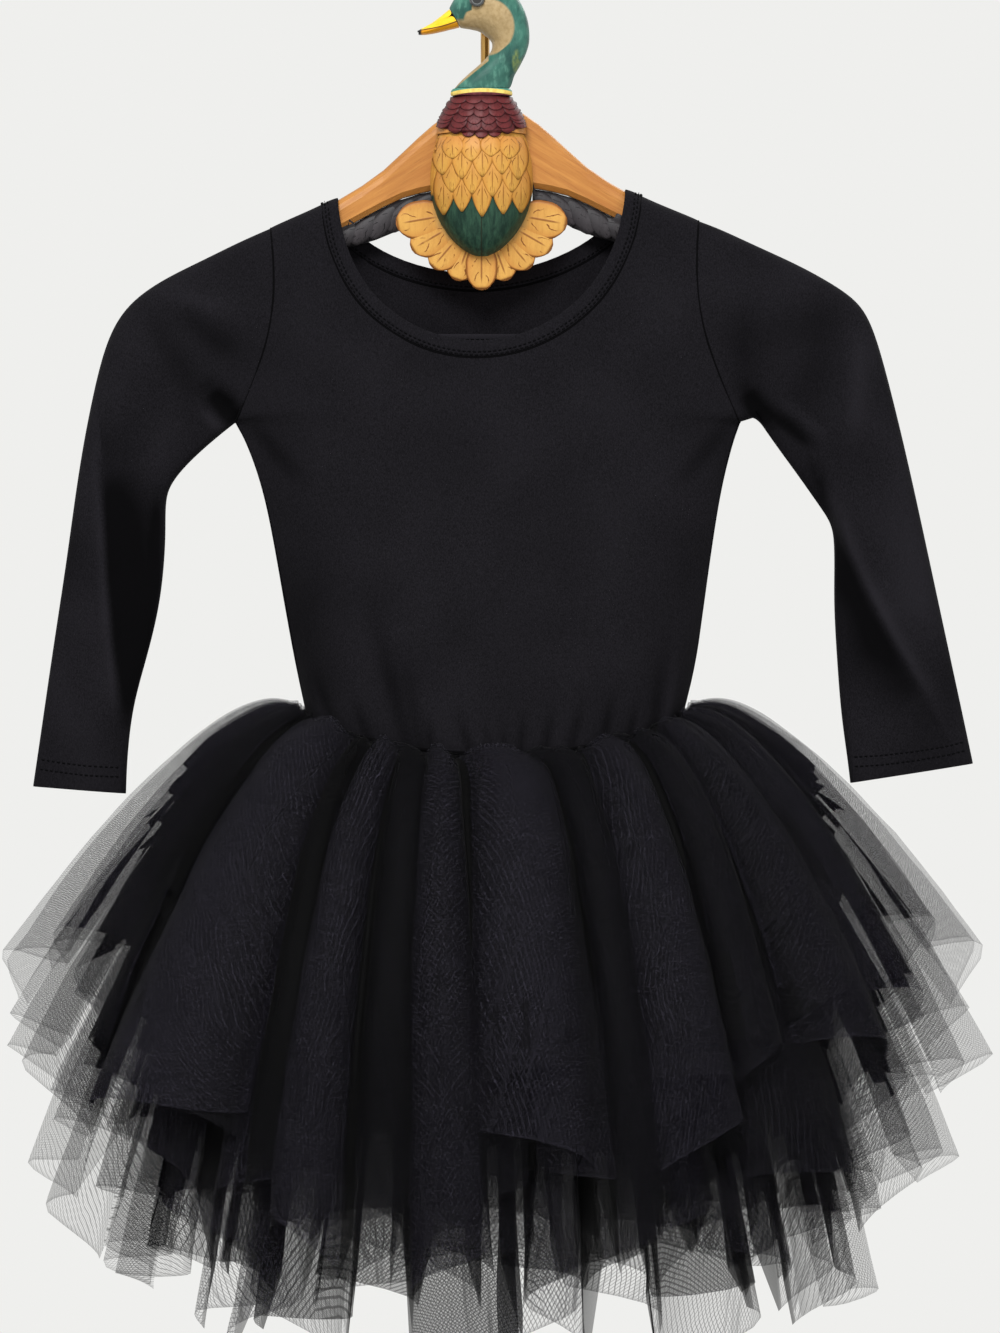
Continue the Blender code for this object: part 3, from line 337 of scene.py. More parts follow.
def eye_material():
    """Black bead in a dark ring with a grey rim, drawn by distance from its middle."""
    s = Shader("bead_eye", rgb(10, 10, 11), roughness=0.06, coat_weight=1.0)
    x, y, z = s.split(s.place)
    dx, dz = x - EYE[0] * MM, z - EYE[1] * MM
    far = (dx * dx + dz * dz).root()
    ring = far.ramp(3.0 * MM, 3.2 * MM)
    line = abs(far - 2.9 * MM).ramp(0.35 * MM, 0.15 * MM)
    body = s.mix(line, s.mix(ring, rgb(6, 6, 7), rgb(34, 38, 40)), rgb(92, 96, 96))
    return s.surface(base_color=body, roughness=ring.ramp(0, 1, 0.05, 0.5))


def band_material():
    """Charcoal paint with brush marks."""
    s = satin("charcoal_paint_look", paint(48, 45, 48), 0.55, 0.05)
    brush = s.noise(1.0, 4.0, 0.65, stretch=(300, 300, 120))
    return s.surface(base_color=s.mix(brush.ramp(0.4, 0.7), paint(34, 32, 35), paint(56, 53, 56)),
                     normal=s.bump(brush, 0.2, 0.6))


def carved_paint(name, base):
    """Painted carving, with its brush marks and their mask for two shades."""
    s = satin(name, base)
    brush = s.noise(1.6, 4.0, 0.6, stretch=(240, 200, 120))
    return s, brush, brush.ramp(0.36, 0.7)


def breast_material():
    """Burgundy paint, rubbed lighter in places, whose lower edge rises at the sides."""
    s, brush, marks = carved_paint("burgundy_look", paint(92, 40, 46))
    wine = s.mix(marks, paint(64, 20, 24), paint(108, 42, 44))
    x, y, z = s.split(s.place)
    off = x - MIDDLE_X * MM
    above = z - (off * off * BREAST_CURVE + BREAST_LOW * MM)
    return s.surface(base_color=s.mix(above.ramp(-0.3 * MM, 0.3 * MM), paint(200, 136, 68), wine),
                     normal=s.bump(brush, 0.2, 0.5))


def ring_material():
    """Thin yellow stripe that rises in the middle, teal above it and burgundy below."""
    s, brush, marks = carved_paint("ring_look", paint(220, 192, 96))
    x, y, z = s.split(s.place)
    off = x - STRIPE[0] * MM
    above = z - (STRIPE[1] * MM - off * off * STRIPE_CURVE)
    inner, outer = (STRIPE_HALF - 0.15) * MM, (STRIPE_HALF + 0.15) * MM
    teal = s.mix(marks, paint(58, 122, 106), paint(98, 158, 138))
    stripe = s.mix(marks, paint(230, 206, 110), paint(204, 170, 76))
    wine = s.mix(marks, paint(84, 34, 42), paint(118, 60, 64))
    body = s.mix(above.ramp(inner, outer), stripe, teal)
    body = s.mix(above.ramp(-inner, -outer), body, wine)
    return s.surface(base_color=body, normal=s.bump(brush, 0.15, 0.5))


def body_material():
    """Ochre back that turns to a streaked green belly below the feather tips."""
    s = satin("painted_body", paint(40, 84, 62))
    x, y, z = s.split(s.place)
    brush = s.noise(1.0, 5.0, 0.7, stretch=(420, 200, 40))
    marks = brush.ramp(0.4, 0.66)
    green = s.mix(marks, paint(22, 50, 40), paint(50, 84, 66))
    rib = abs(x - MIDDLE_X * MM).ramp(0.5 * MM, 0.2 * MM, 0, 0.8)
    green = s.mix(rib, green, paint(34, 34, 22))
    ochre = s.mix(marks, paint(196, 134, 54), paint(214, 162, 74))
    above = z.ramp((BELLY_TOP - 1) * MM, (BELLY_TOP + 1) * MM)
    return s.surface(base_color=s.mix(above, green, ochre),
                     normal=s.bump(brush, 0.3, 0.6))


# ---- building helpers ------------------------------------------------------
SIDE_OF = {"front": -1, "back": 1}      # which way along Y each half of the dress faces


def add_piece(name, data, material):
    data.materials.clear()
    data.materials.append(material)
    for polygon in data.polygons:
        polygon.use_smooth = True
    piece = bpy.data.objects.new(name, data)
    COLLECTION.objects.link(piece)
    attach(piece, "root")
    return piece


def add_mesh(name, points, faces, material):
    data = bpy.data.meshes.new(name)
    data.from_pydata([tuple(p) for p in points], [], faces)
    data.update()
    return add_piece(name, data, material)


def grid_faces(rows, columns, closed=False, start=0):
    """Faces of a grid of points, whose last column joins the first where it is closed."""
    faces = []
    for row in range(start, start + (rows - 1) * columns, columns):
        for c in range(columns if closed else columns - 1):
            after = (c + 1) % columns
            faces.append((row + c, row + after, row + columns + after, row + columns + c))
    return faces


def set_uv(piece, per_vertex):
    layer = piece.data.uv_layers.new(name="UVMap")
    index = np.zeros(len(piece.data.loops), dtype=np.int32)
    piece.data.loops.foreach_get("vertex_index", index)
    layer.data.foreach_set("uv", np.asarray(per_vertex, dtype=np.float32)[index].ravel())


def set_value(piece, name, values):
    attributes = piece.data.attributes
    made = attributes.get(name) or attributes.new(name, "FLOAT", "POINT")
    made.data.foreach_set("value", np.asarray(values, dtype=np.float32).ravel())


def per_vertex(data, key):
    flat = np.zeros(len(data.vertices) * 3)
    data.vertices.foreach_get(key, flat)
    return flat.reshape(-1, 3)


def unit(vectors):
    length = np.linalg.norm(vectors, axis=-1, keepdims=True)
    return vectors / np.maximum(length, 1e-12)


def tree_of(*meshes):
    points, faces = [], []
    for data in meshes:
        start = len(points)
        points.extend(v.co.copy() for v in data.vertices)
        faces.extend([start + i for i in p.vertices] for p in data.polygons)
    return BVHTree.FromPolygons(points, faces)


def node_tree(*names):
    return tree_of(*(NODES[name].data for name in names))


# ---- jersey ----------------------------------------------------------------
SOFT, GROWS, CRISP_LEFT, CRISP_RIGHT = range(4)
CREASE_SHADE_SPAN = 5.0                # millimetres of push between the darkest painted shade and the lightest painted highlight
RIM_ANGLE = math.radians(50)
RIM_CREASE = 0.85
FLAT_ANGLE = 0.9               # triangles that meet under this angle are joined, radians
SHARPER = 0.14                 # the crisp side of a fold edge, as a share of its width
SLEEVE_MIDDLE = -1.5           # where the sleeves' front and back halves part, in y
BACK_SHARE = 0.55              # how deep a sleeve's creases are behind, against its front
CRUMPLE_SIZE = 0.03
BAND_HIGHLIGHT_TOP = -252.4             # the inner band gets a painted highlight along its top, above this height


def soft_copy(name, node, levels, material):
    """Smooth, denser copy of a cloth solid, with its rims kept crisp."""
    work = bmesh.new()
    work.from_mesh(NODES[node].data)
    bmesh.ops.remove_doubles(work, verts=work.verts, dist=0.001 * MM)
    bmesh.ops.join_triangles(work, faces=work.faces, angle_face_threshold=FLAT_ANGLE,
                             angle_shape_threshold=FLAT_ANGLE)
    crease = work.edges.layers.float.new("crease_edge")
    for edge in work.edges:
        if len(edge.link_faces) == 2 and edge.calc_face_angle() > RIM_ANGLE:
            edge[crease] = RIM_CREASE
    data = bpy.data.meshes.new(name)
    work.to_mesh(data)
    work.free()
    rough = bpy.data.objects.new(name + "_rough", data)
    COLLECTION.objects.link(rough)
    layer = rough.modifiers.new("smooth", "SUBSURF")
    layer.levels = layer.render_levels = levels
    bpy.context.view_layer.update()
    shaped = rough.evaluated_get(bpy.context.evaluated_depsgraph_get())
    dense = bpy.data.meshes.new_from_object(shaped)
    bpy.data.objects.remove(rough)
    dense.name = name
    piece = add_piece(name, dense, material)
    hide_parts(node)
    return piece


def crease_push(x, z, kind, path, width, depth):
    """How far one crease presses in, in metres, at places x and z in millimetres.

    SOFT fades out at both ends, GROWS is deepest at its last place.  CRISP_LEFT and
    CRISP_RIGHT are fold edges: abrupt on that side of the way they run, seen from
    the front, and a slow slope on the other.
    """
    best = np.full(len(x), 1e9)
    fade = np.ones(len(x))
    turn = np.ones(len(x))
    count = len(path) - 1
    for k in range(count):
        (ax, az), (bx, bz) = path[k], path[k + 1]
        dx, dz = bx - ax, bz - az
        along = np.clip(((x - ax) * dx + (z - az) * dz) / (dx * dx + dz * dz), 0, 1)
        far = np.hypot(x - ax - along * dx, z - az - along * dz)
        share = (k + along) / count
        if kind == GROWS:
            shape = np.clip(share * 1.6, 0.1, 1)
        else:
            shape = np.sin(math.pi * np.clip(share, 0.03, 0.97))**0.5
        nearer = far < best
        best = np.where(nearer, far, best)
        fade = np.where(nearer, shape, fade)
        turn = np.where(nearer, dx * (z - az) - dz * (x - ax), turn)
    crisp = {CRISP_LEFT: turn > 0, CRISP_RIGHT: turn < 0}.get(kind, False)
    spread = width * np.where(crisp, SHARPER, 1.0)
    return depth * MM * fade * np.exp(-(best / spread)**2)


def crease_field(points, creases):
    """Sum of creases at points, in metres: troughs are below 0 and ridges above."""
    total = np.zeros(len(points))
    x, z = points[:, 0] / MM, points[:, 2] / MM
    for kind, rows in creases.items():
        for row in rows:
            total -= crease_push(x, z, kind, *row)
    return total


def dent(piece, creases, side, crumple):
    """Press creases into cloth: side -1 or 1 for one panel, 0 for both halves of a sleeve."""
    data = piece.data
    points = per_vertex(data, "co")
    facing = np.clip(np.abs(per_vertex(data, "normal")[:, 1]) * 1.6, 0, 1)
    way, field = float(side), crease_field(points, creases)
    if side == 0:
        way = np.where(points[:, 1] >= SLEEVE_MIDDLE * MM, 1.0, -1.0)
        behind = BACK_SHARE * crease_field(points * (1, 1, 1.02), creases)
        field = np.where(way < 0, field, behind)
    push = field * facing
    if crumple:
        rough = np.array([noise.noise(Vector(p) / CRUMPLE_SIZE) for p in points])
        push = push + rough * crumple * MM * facing
    points[:, 1] += way * push
    data.vertices.foreach_set("co", points.ravel())
    data.update()
    # painted shade where the cloth is pressed in and a painted highlight where it stands out
    set_value(piece, "fold", np.clip(0.5 + push / (CREASE_SHADE_SPAN * MM), 0, 1))


# Creases by kind: (x, z) places along each one, half width and depth (minus: a ridge)
FRONT_CREASES = {
    GROWS: [
        ([(-66, -400), (-56, -440), (-44, -486)], 5, 1.5),
        ([(-47, -430), (-36, -488)], 4, 1.1),
        ([(-76, -456), (-66, -484)], 2.6, 1.5),
        ([(-98, -440), (-86, -474)], 3, 1.2),
        ([(-33, -466), (-30, -490)], 2.2, 1.4),
        ([(-17, -462), (-8, -491)], 2.4, 1.5),
        ([(0, -470), (2, -492)], 2, 1.2),
        ([(9, -470), (12, -492)], 2, 1.3),
        ([(22, -464), (20, -491)], 2.3, 1.3),
        ([(39, -462), (34, -489)], 2.6, 1.5),
        ([(56, -458), (49, -487)], 2.8, 1.4),
        ([(73, -454), (67, -484)], 2.8, 1.5),
        ([(87, -460), (82, -481)], 2.4, 1.3),
        ([(110, -420), (104, -474)], 3.0, -1.0),
        ([(100, -436), (96, -477)], 3.2, 1.3),
    ],
    SOFT: [
        ([(-116, -366), (-106, -400), (-97, -446), (-94, -466)], 18, 1.2),
        ([(126, -352), (112, -396), (103, -436), (100, -460)], 14, 0.5),
        ([(-134, -302), (-120, -320), (-104, -336)], 5, 1.3),
        ([(140, -302), (126, -320), (110, -338)], 5, 1.2),
    ],
}
BACK_CREASES = {
    GROWS: [
        ([(-70, -440), (-60, -478)], 5, 2.6),
        ([(-46, -450), (-40, -482)], 3.6, 2.1),
        ([(-28, -444), (-22, -483)], 4, 2.3),
        ([(-8, -456), (-6, -484)], 3, 1.9),
        ([(10, -446), (9, -484)], 3.8, 2.2),
        ([(28, -452), (25, -483)], 3.2, 1.9),
        ([(46, -440), (40, -481)], 4.4, 2.5),
        ([(66, -450), (60, -479)], 3.6, 2.0),
        ([(84, -446), (78, -476)], 4, 2.2),
        ([(-88, -446), (-82, -474)], 3.6, 2.0),
    ],
    SOFT: [
        ([(-130, -306), (-112, -326), (-90, -345)], 8, 1.6),
        ([(135, -304), (116, -326), (92, -350)], 8, 1.6),
        ([(-60, -258), (0, -274), (62, -256)], 12, 1.0),
        ([(-40, -330), (-44, -380), (-36, -420)], 20, 1.0),
        ([(50, -330), (46, -380), (52, -424)], 20, 1.0),
    ],
}
LEFT_SLEEVE_CREASES = {
    CRISP_RIGHT: [
        ([(-217, -326), (-214, -355), (-211.5, -391), (-208.6, -427), (-205.2, -457),
           (-203.5, -474)], 26, 4.6),
    ],
    SOFT: [
        ([(-221, -320), (-218, -355), (-215.5, -391), (-212.6, -427), (-209.2, -457),
           (-207.5, -468)], 4, -1.5),
        ([(-194, -238), (-178, -262), (-162, -290)], 9, 1.4),
        ([(-176, -238), (-158, -252), (-139, -266)], 8, 1.4),
        ([(-186, -228), (-166, -234), (-146, -240)], 6, -0.9),
        ([(-156, -284), (-147, -294), (-140, -304)], 6, 4.4),
        ([(-162, -294), (-154, -303), (-148, -310)], 4, -1.6),
        ([(-186, -342), (-188, -372), (-187, -404)], 3.2, 1.6),
        ([(-176, -292), (-184, -316), (-190, -342)], 10, -0.6),
        ([(-238, -330), (-240, -372), (-244, -412)], 10, 0.6),
        ([(-244, -430), (-240, -462), (-236, -490)], 9, -0.6),
    ],
}
RIGHT_SLEEVE_CREASES = {
    CRISP_LEFT: [
        ([(190, -338), (197, -362), (212, -396), (227, -425), (242, -450), (250, -462)], 22, 3.0),
    ],
    SOFT: [
        ([(190, -333), (201, -359), (216, -393), (231, -422), (246, -448), (256, -462)], 5, -1.6),
        ([(152, -262), (178, -250), (206, -243)], 13, 0.9),
        ([(196, -250), (186, -280), (176, -308)], 13, 1.3),
        ([(214, -256), (212, -284), (210, -312)], 6, -1.0),
        ([(148, -284), (155, -295), (162, -304)], 6, 4.4),
        ([(163, -297), (174, -306), (186, -316)], 3.6, 2.4),
        ([(168, -292), (180, -300), (192, -312)], 4, -1.2),
        ([(187, -324), (191, -336), (194, -349)], 4, 1.6),
        ([(150, -232), (146, -256), (148, -280)], 8, 0.8),
        ([(236, -320), (243, -372), (252, -420)], 14, -1.0),
        ([(262, -430), (265, -460), (266, -486)], 8, 0.4),
    ],
}


def build_jersey(cloth):
    def panel(node, levels, creases={}, side=-1, crumple=0.0):
        piece = soft_copy(f"{node}_cloth", node, levels, cloth)
        dent(piece, creases, side, crumple)
        return piece

    front = panel("bodice_front", 3, FRONT_CREASES, -1, 0.5)
    back = panel("bodice_back", 3, BACK_CREASES, 1, 0.5)
    left = panel("sleeve_left", 3, LEFT_SLEEVE_CREASES, 0, 0.7)
    right = panel("sleeve_right", 3, RIGHT_SLEEVE_CREASES, 0, 0.7)
    binding, band = panel("neck_binding", 2), panel("back_inner_band", 2)
    # painted highlight on the inner band, brightest along its top edge
    level = per_vertex(band.data, "co")[:, 2] / MM
    set_value(band, "fold", np.where(level > BAND_HIGHLIGHT_TOP, 1.0, 0.66))
    return left, right, binding, band


# ---- seams -----------------------------------------------------------------
SEAM_REACH = 0.9 * MM          # corners this near the other piece lie on the seam
SEAM_APART = 3.0 * MM          # corners this near each other make one place of it
SEAM_SIDES = 8
SEAM_STEP = 3.0 * MM
UNDERARM, SHOULDER = -300, -250     # side seams run below the one, shoulder seams above the other
NECK_TURN = {"front": (-2, -170), "back": (-2, -176)}   # middles that the neck seams run round


def seam_points(node, other, keep):
    tree = node_tree(other)
    return [np.array(vertex.co) for vertex in NODES[node].data.vertices
            if tree.find_nearest(vertex.co)[3] < SEAM_REACH and keep(vertex.co / MM)]


def seam_path(node, other, order, keep=lambda p: True):
    """Middle line of the gap between two pieces, in order along the seam."""
    points = seam_points(node, other, keep) + seam_points(other, node, keep)
    points.sort(key=lambda p: order(p / MM))
    groups = []
    for point in points:
        if groups and np.linalg.norm(point - np.mean(groups[-1], axis=0)) < SEAM_APART:
            groups[-1].append(point)
        else:
            groups.append([point])
    return np.array([np.mean(group, axis=0) for group in groups])


def neck_path(key):
    x, z = NECK_TURN[key]
    return seam_path(f"bodice_{key}", "neck_binding", lambda p: math.atan2(p[2] - z, p[0] - x))


def rounded(points, passes=2):
    """The path with its corners cut, ends kept."""
    for _ in range(passes):
        near = points[:-1] * 0.75 + points[1:] * 0.25
        far = points[:-1] * 0.25 + points[1:] * 0.75
        mixed = np.stack([near, far], axis=1).reshape(-1, 3)
        points = np.vstack([points[:1], mixed, points[-1:]])
    return points


def resample(points, pitch):
    points = np.asarray(points, dtype=float)
    steps = np.linalg.norm(np.diff(points, axis=0), axis=1)
    far = np.concatenate([[0], np.cumsum(steps)])
    count = max(int(far[-1] / pitch), 1)
    at = (np.arange(count) + 0.5) * far[-1] / count
    return np.stack([np.interp(at, far, points[:, k]) for k in range(3)], axis=-1)


def add_tube(name, path, radius, material):
    path = rounded(path)
    centres = np.vstack([path[:1], resample(path, SEAM_STEP), path[-1:]])
    tangents = unit(np.gradient(centres, axis=0))
    side = unit(np.cross(tangents, (0.0, 0.3, 1.0)))
    up = np.cross(side, tangents)
    angles = [2 * math.pi * k / SEAM_SIDES for k in range(SEAM_SIDES)]
    grid = np.stack([centres + (side * math.cos(a) + up * math.sin(a)) * radius for a in angles],
                    axis=1)
    add_mesh(name, grid.reshape(-1, 3), grid_faces(len(centres), SEAM_SIDES, closed=True),
             material)


def build_seams(material):
    def join(name, radius, *path_terms):
        add_tube(name, seam_path(*path_terms), radius * MM, material)

    def along_x(p):
        return p[0]

    def down(p):
        return p[2]

    for key, radius in (("front", 0.75), ("back", 0.95)):
        add_tube(f"neck_seam_{key}", neck_path(key), radius * MM, material)
    for key in SIDE_OF:
        join(f"waist_seam_{key}", 1.2, f"bodice_{key}", f"skirt_1_{key}", along_x)
    for label, sign in (("left", -1), ("right", 1)):
        for key in SIDE_OF:
            join(f"armhole_seam_{label}_{key}", 0.75, f"sleeve_{label}", f"bodice_{key}", down)
        join(f"side_seam_{label}", 0.6, "bodice_front", "bodice_back", down,
             lambda p: p[2] < UNDERARM and p[0] * sign > 0)
        join(f"shoulder_seam_{label}", 0.6, "bodice_front", "bodice_back", along_x,
             lambda p: p[2] > SHOULDER and p[0] * sign > 0)


# ---- stitches --------------------------------------------------------------
STITCH_LENGTH = 1.9 * MM
STITCH_PITCH = 2.9 * MM
STITCH_WIDTH = 0.85 * MM
STITCH_RING = ((0, 0.5), (0.5, 0.15), (0, -0.3), (-0.5, 0.15))         # across, off the cloth
STITCH_SWELL = ((-0.5, 0.25), (-0.3, 0.9), (0.3, 0.9), (0.5, 0.25))    # along, thickness
NECK_MIDDLE = np.array([-2.0, 0.0, -172.0])
INNER_ROW = (64, -254.2)       # half length and z of the stitches on the inner band
CUFF_POINTS, BAND_POINTS = 40, 30       # places along one row of stitches
# x and z along the two stitch rows above each cuff
CUFF_ROWS = {
    "left": [[(-252.6, -494), (-240, -496), (-226, -497.6), (-208, -498.6)],
             [(-253.4, -499.5), (-240, -501.4), (-226, -503), (-208, -503.8)]],
    "right": [[(209.5, -492.6), (226, -491.6), (244, -489.4), (262, -486.6), (272, -484)],
              [(210, -498), (226, -497), (244, -494.6), (262, -491.6), (273, -489)]],
}


def stitch_row(name, path, tree, thread, side):
    """Row of short threads lying on cloth that faces side (-1 forward, 1 back)."""
    centres = resample(path, STITCH_PITCH)
    tangents = unit(np.gradient(centres, axis=0))
    points, faces = [], []
    for centre, tangent in zip(centres, tangents):
        found, normal, _, _ = tree.find_nearest(Vector(centre))
        normal = np.array(normal)
        if normal[1] * side < 0:
            normal = -normal
        across = unit(np.cross(tangent, normal))
        base = np.array(found) + normal * 0.2 * MM
        start = len(points)
        for along, swell in STITCH_SWELL:
            for a, b in STITCH_RING:
                points.append(base + tangent * along * STITCH_LENGTH
                              + (across * a + normal * b) * STITCH_WIDTH * swell)
        faces += grid_faces(4, 4, closed=True, start=start)
        faces.append(tuple(start + m for m in (3, 2, 1, 0)))
        faces.append(tuple(start + 12 + m for m in range(4)))
    add_mesh(name, points, faces, thread)


def path_on(tree, places, side):
    """Outermost points of a piece along (x, z) places, seen from the front or the back."""
    x, z = np.array(places, dtype=float).T
    fine = np.linspace(x[0], x[-1], CUFF_POINTS)
    found = [tree.ray_cast(Vector((a * MM, side * 0.4, b * MM)), Vector((0, -side, 0)))[0]
             for a, b in zip(fine, np.interp(fine, x, z))]
    return [np.array(p) for p in found if p is not None]


def neck_row(tree, key, inward, outside=True):
    """Line on the binding at a distance from its seam, towards the neck opening."""
    seam = resample(rounded(neck_path(key)), SEAM_STEP)
    way = NECK_MIDDLE * MM - seam
    tangents = unit(np.gradient(seam, axis=0))
    way[:, 1] = 0
    way = unit(way - tangents * np.sum(way * tangents, axis=1, keepdims=True))
    off = np.array([0, SIDE_OF[key] if outside else -SIDE_OF[key], 0]) * 3 * MM
    return [np.array(tree.find_nearest(Vector(spot))[0]) for spot in seam + way * inward * MM + off]


def build_stitches(jersey, thread):
    left, right, binding, band = jersey
    tree = tree_of(binding.data)
    for key, side in SIDE_OF.items():
        for number, inward in enumerate((1.5, 3.4), 1):
            stitch_row(f"neck_stitches_{key}_{number}", neck_row(tree, key, inward), tree, thread,
                       side)
    # the back of the neck shows its inside to the front
    stitch_row("neck_stitches_inside", neck_row(tree, "back", 2.0, outside=False), tree, thread, -1)
    tree = tree_of(band.data)
    half, z = INNER_ROW
    inner = [tree.ray_cast(Vector((x * MM, 0, z * MM)), Vector((0, 1, 0)))[0]
             for x in np.linspace(-half, half, BAND_POINTS)]
    stitch_row("inner_band_stitches", [p for p in inner if p is not None], tree, thread, -1)
    for label, piece in (("left", left), ("right", right)):
        tree = tree_of(piece.data)
        for key, side in SIDE_OF.items():
            for number, places in enumerate(CUFF_ROWS[label], 1):
                stitch_row(f"cuff_stitches_{label}_{key}_{number}", path_on(tree, places, side),
                           tree, thread, side)


# ---- tulle -----------------------------------------------------------------
# the waist seam, which dips in the middle of each half: millimetres
WAIST_MIDDLE, WAIST_HALF = 5.5, 106.5
WAIST_DEPTH = {"front": 42.5, "back": 40.5}
WAIST_DIP = {"front": 20.0, "back": 14.0}
WAIST_Z = -470.4
LAYERS = [
    # the CAD layers' profiles: handles and hem as (out, down) from the waist
    dict(side=((15, -30), (75, 5), (165, 132)), front=((20, -1), (76, 12), (133, 172))),
    dict(side=((18, -14), (88, 18), (166, 184)), front=((18, 6), (82, 52), (131, 214))),
    dict(side=((20, -2), (92, 56), (150, 242)), front=((15, 14), (76, 94), (124, 256))),
    dict(side=((16, 10), (76, 104), (108, 292)), front=((10, 22), (60, 128), (106, 318))),
]
# how far each layer and the denser ply beneath it come, at the sides and in the middle
TOP_REACH = [(0.97, 1.0), (0.97, 1.03), (0.98, 1.06), (1.0, 0.99)]
UNDER_REACH = [(0.6, 0.96), (0.6, 0.97), (0.62, 0.99), (0.68, 0.96)]
# how far each layer stands inside its profile at the sides, halfway down
SIDE_SINK = (0, 12, 14, 14)
UNDER_SINK = 5                 # and how much further the ply beneath it
LAYER_INSET, UNDER_INSET = 1.8, 2.5
DEEPEST = 170 * MM             # folds that stand out past this are drawn in by half
SEAM_HALF = 0.1 * MM           # how far from the middle plane the side seams' edges are
ROWS = 34
VALLEY = 0.12                  # share of a fold each side that lies in the painted shade between folds
OPENS, LAPS = 0.55, 0.4         # powers by which folds widen and lap towards the hem
SWAY = 0.13                    # how far folds wander sideways, as a share of their hem width
RISES = 0.03                   # share of the way down in which folds first stand up
PUFF_AT = 0.035                # share of the way down where the heads of net stand highest
# painted light on the net, from 0 (painted shade) to 1: a fold's face, the painted highlight its
# edge adds, the painted shade at the waist
FACE_TONE, CREST_HIGHLIGHT, WAIST_TONE = 0.52, 0.4, 0.1
HEM_LINE = 0.994               # the cut edge's darker line starts at this share
WOBBLE, WOBBLE_SIZE = 2.0, 0.045        # how far the net wanders, millimetres, over how far
FINE_SHARE, FINE_SIZE = 0.4, 0.016      # the same for finer ripples, as a share of WOBBLE
BACK_PHASE = 2.9               # sets the back's folds apart from the front's
FOLD_STEPS = (0, 0.05, 0.095, 0.12, 0.14, 0.175, 0.25, 0.37, 0.5, 0.63, 0.75, 0.825, 0.86, 0.88,
              0.905, 0.95)
# Folds of the top layer from its right side seam to its left one, in degrees round
# the half skirt: width at the waist, width at the hem, height in millimetres,
# overlap, longer (+) or shorter hem, tilt of the hem, painted light on the fold
TOP_FRONT = [
    (6, 14, 30, 1.1, 0.03, 0.04, 0.9),
    (7, 12, 30, 1.2, -0.03, 0.04, 0.6),
    (8, 12, 26, 1.0, 0.02, -0.04, 0.8),
    (14.9, 14, 20, 0.9, 0.04, -0.03, 0.8),
    (11, 7, 15, 1.2, 0.03, 0.03, 0.55),
    (17.3, 12.7, 19, 0.95, 0.1, 0.03, 1.0),
    (13.8, 5.1, 12, 1.2, 0.18, 0.02, 0.4),
    (27, 15.5, 22, 0.95, 0.08, -0.03, 1.1),
    (8, 9.2, 18, 1.1, 0.19, 0.03, 0.95),
    (8.4, 7, 8, 0.9, 0.15, 0.02, 0.3),
    (9.5, 8.5, 18, 1.2, 0.18, -0.03, 1.0),
    (5, 5, 6, 0.8, 0.13, 0.02, 0.2),
    (26, 22.4, 25, 0.9, 0.1, 0.03, 1.1),
    (6, 11, 12, 1.2, 0.02, -0.04, 0.4),
    (6, 13, 28, 1.0, -0.03, 0.04, 0.8),
    (6, 14, 30, 1.1, 0.04, 0.04, 0.7),
]
TOP_BACK = [
    (6, 10, 22, 1.0, 0.03, 0.04, 0.9),
    (9, 11, 20, 1.2, -0.03, -0.04, 0.6),
    (16, 13, 18, 0.95, 0.05, 0.03, 1.0),
    (10, 8, 12, 1.2, 0.12, 0.03, 0.4),
    (22, 17, 21, 0.9, 0.04, -0.03, 1.1),
    (8, 7, 10, 1.2, 0.14, 0.02, 0.35),
    (17, 13, 19, 0.95, 0.06, 0.04, 1.0),
    (11, 10, 14, 1.15, 0.13, 0.02, 0.5),
    (21, 16, 21, 0.95, 0.05, -0.04, 1.1),
    (9, 8, 11, 1.2, 0.13, 0.03, 0.4),
    (16, 13, 18, 0.95, 0.04, 0.03, 1.0),
    (12, 12, 16, 1.15, 0.08, -0.03, 0.6),
    (15, 19, 20, 1.0, 0, 0.04, 0.9),
    (8, 12, 22, 1.1, 0.04, 0.04, 0.7),
]


def made_folds(count, height, phase):
    """Uneven folds for the layers below: long and short, and higher at the sides."""
    rows = []
    for i in range(count):
        width = 1 + 0.4 * math.sin(2.3 * i + phase)
        at_side = math.cos(math.pi * (i + 0.5) / count)**2
        rows.append((width * (1 + 0.2 * math.sin(1.9 * i + 2 * phase)), width,
                     height * (1 + 0.3 * math.sin(3.7 * i + 1.3 * phase) + 0.8 * at_side),
                     1.15 + 0.2 * math.sin(5.3 * i + phase),
                     0.05 * math.sin(4.1 * i + 0.7 * phase),
                     0.035 * math.sin(2.9 * i + 1.9 * phase),
                     # painted light on the fold
                     0.72 + 0.28 * math.sin(4.7 * i + 1.1 * phase)))
    return rows


def second_ply(rows, phase):
    """The same folds with another hem, for the ply beneath."""
    return [(waist, hem, height, overlap, longer + 0.035 * math.sin(3.3 * i + phase),
             -0.6 * corner, light)
            for i, (waist, hem, height, overlap, longer, corner, light) in enumerate(rows)]


def spread_out(widths):
    return np.concatenate([[0], np.cumsum(widths / widths.sum())]) * math.pi


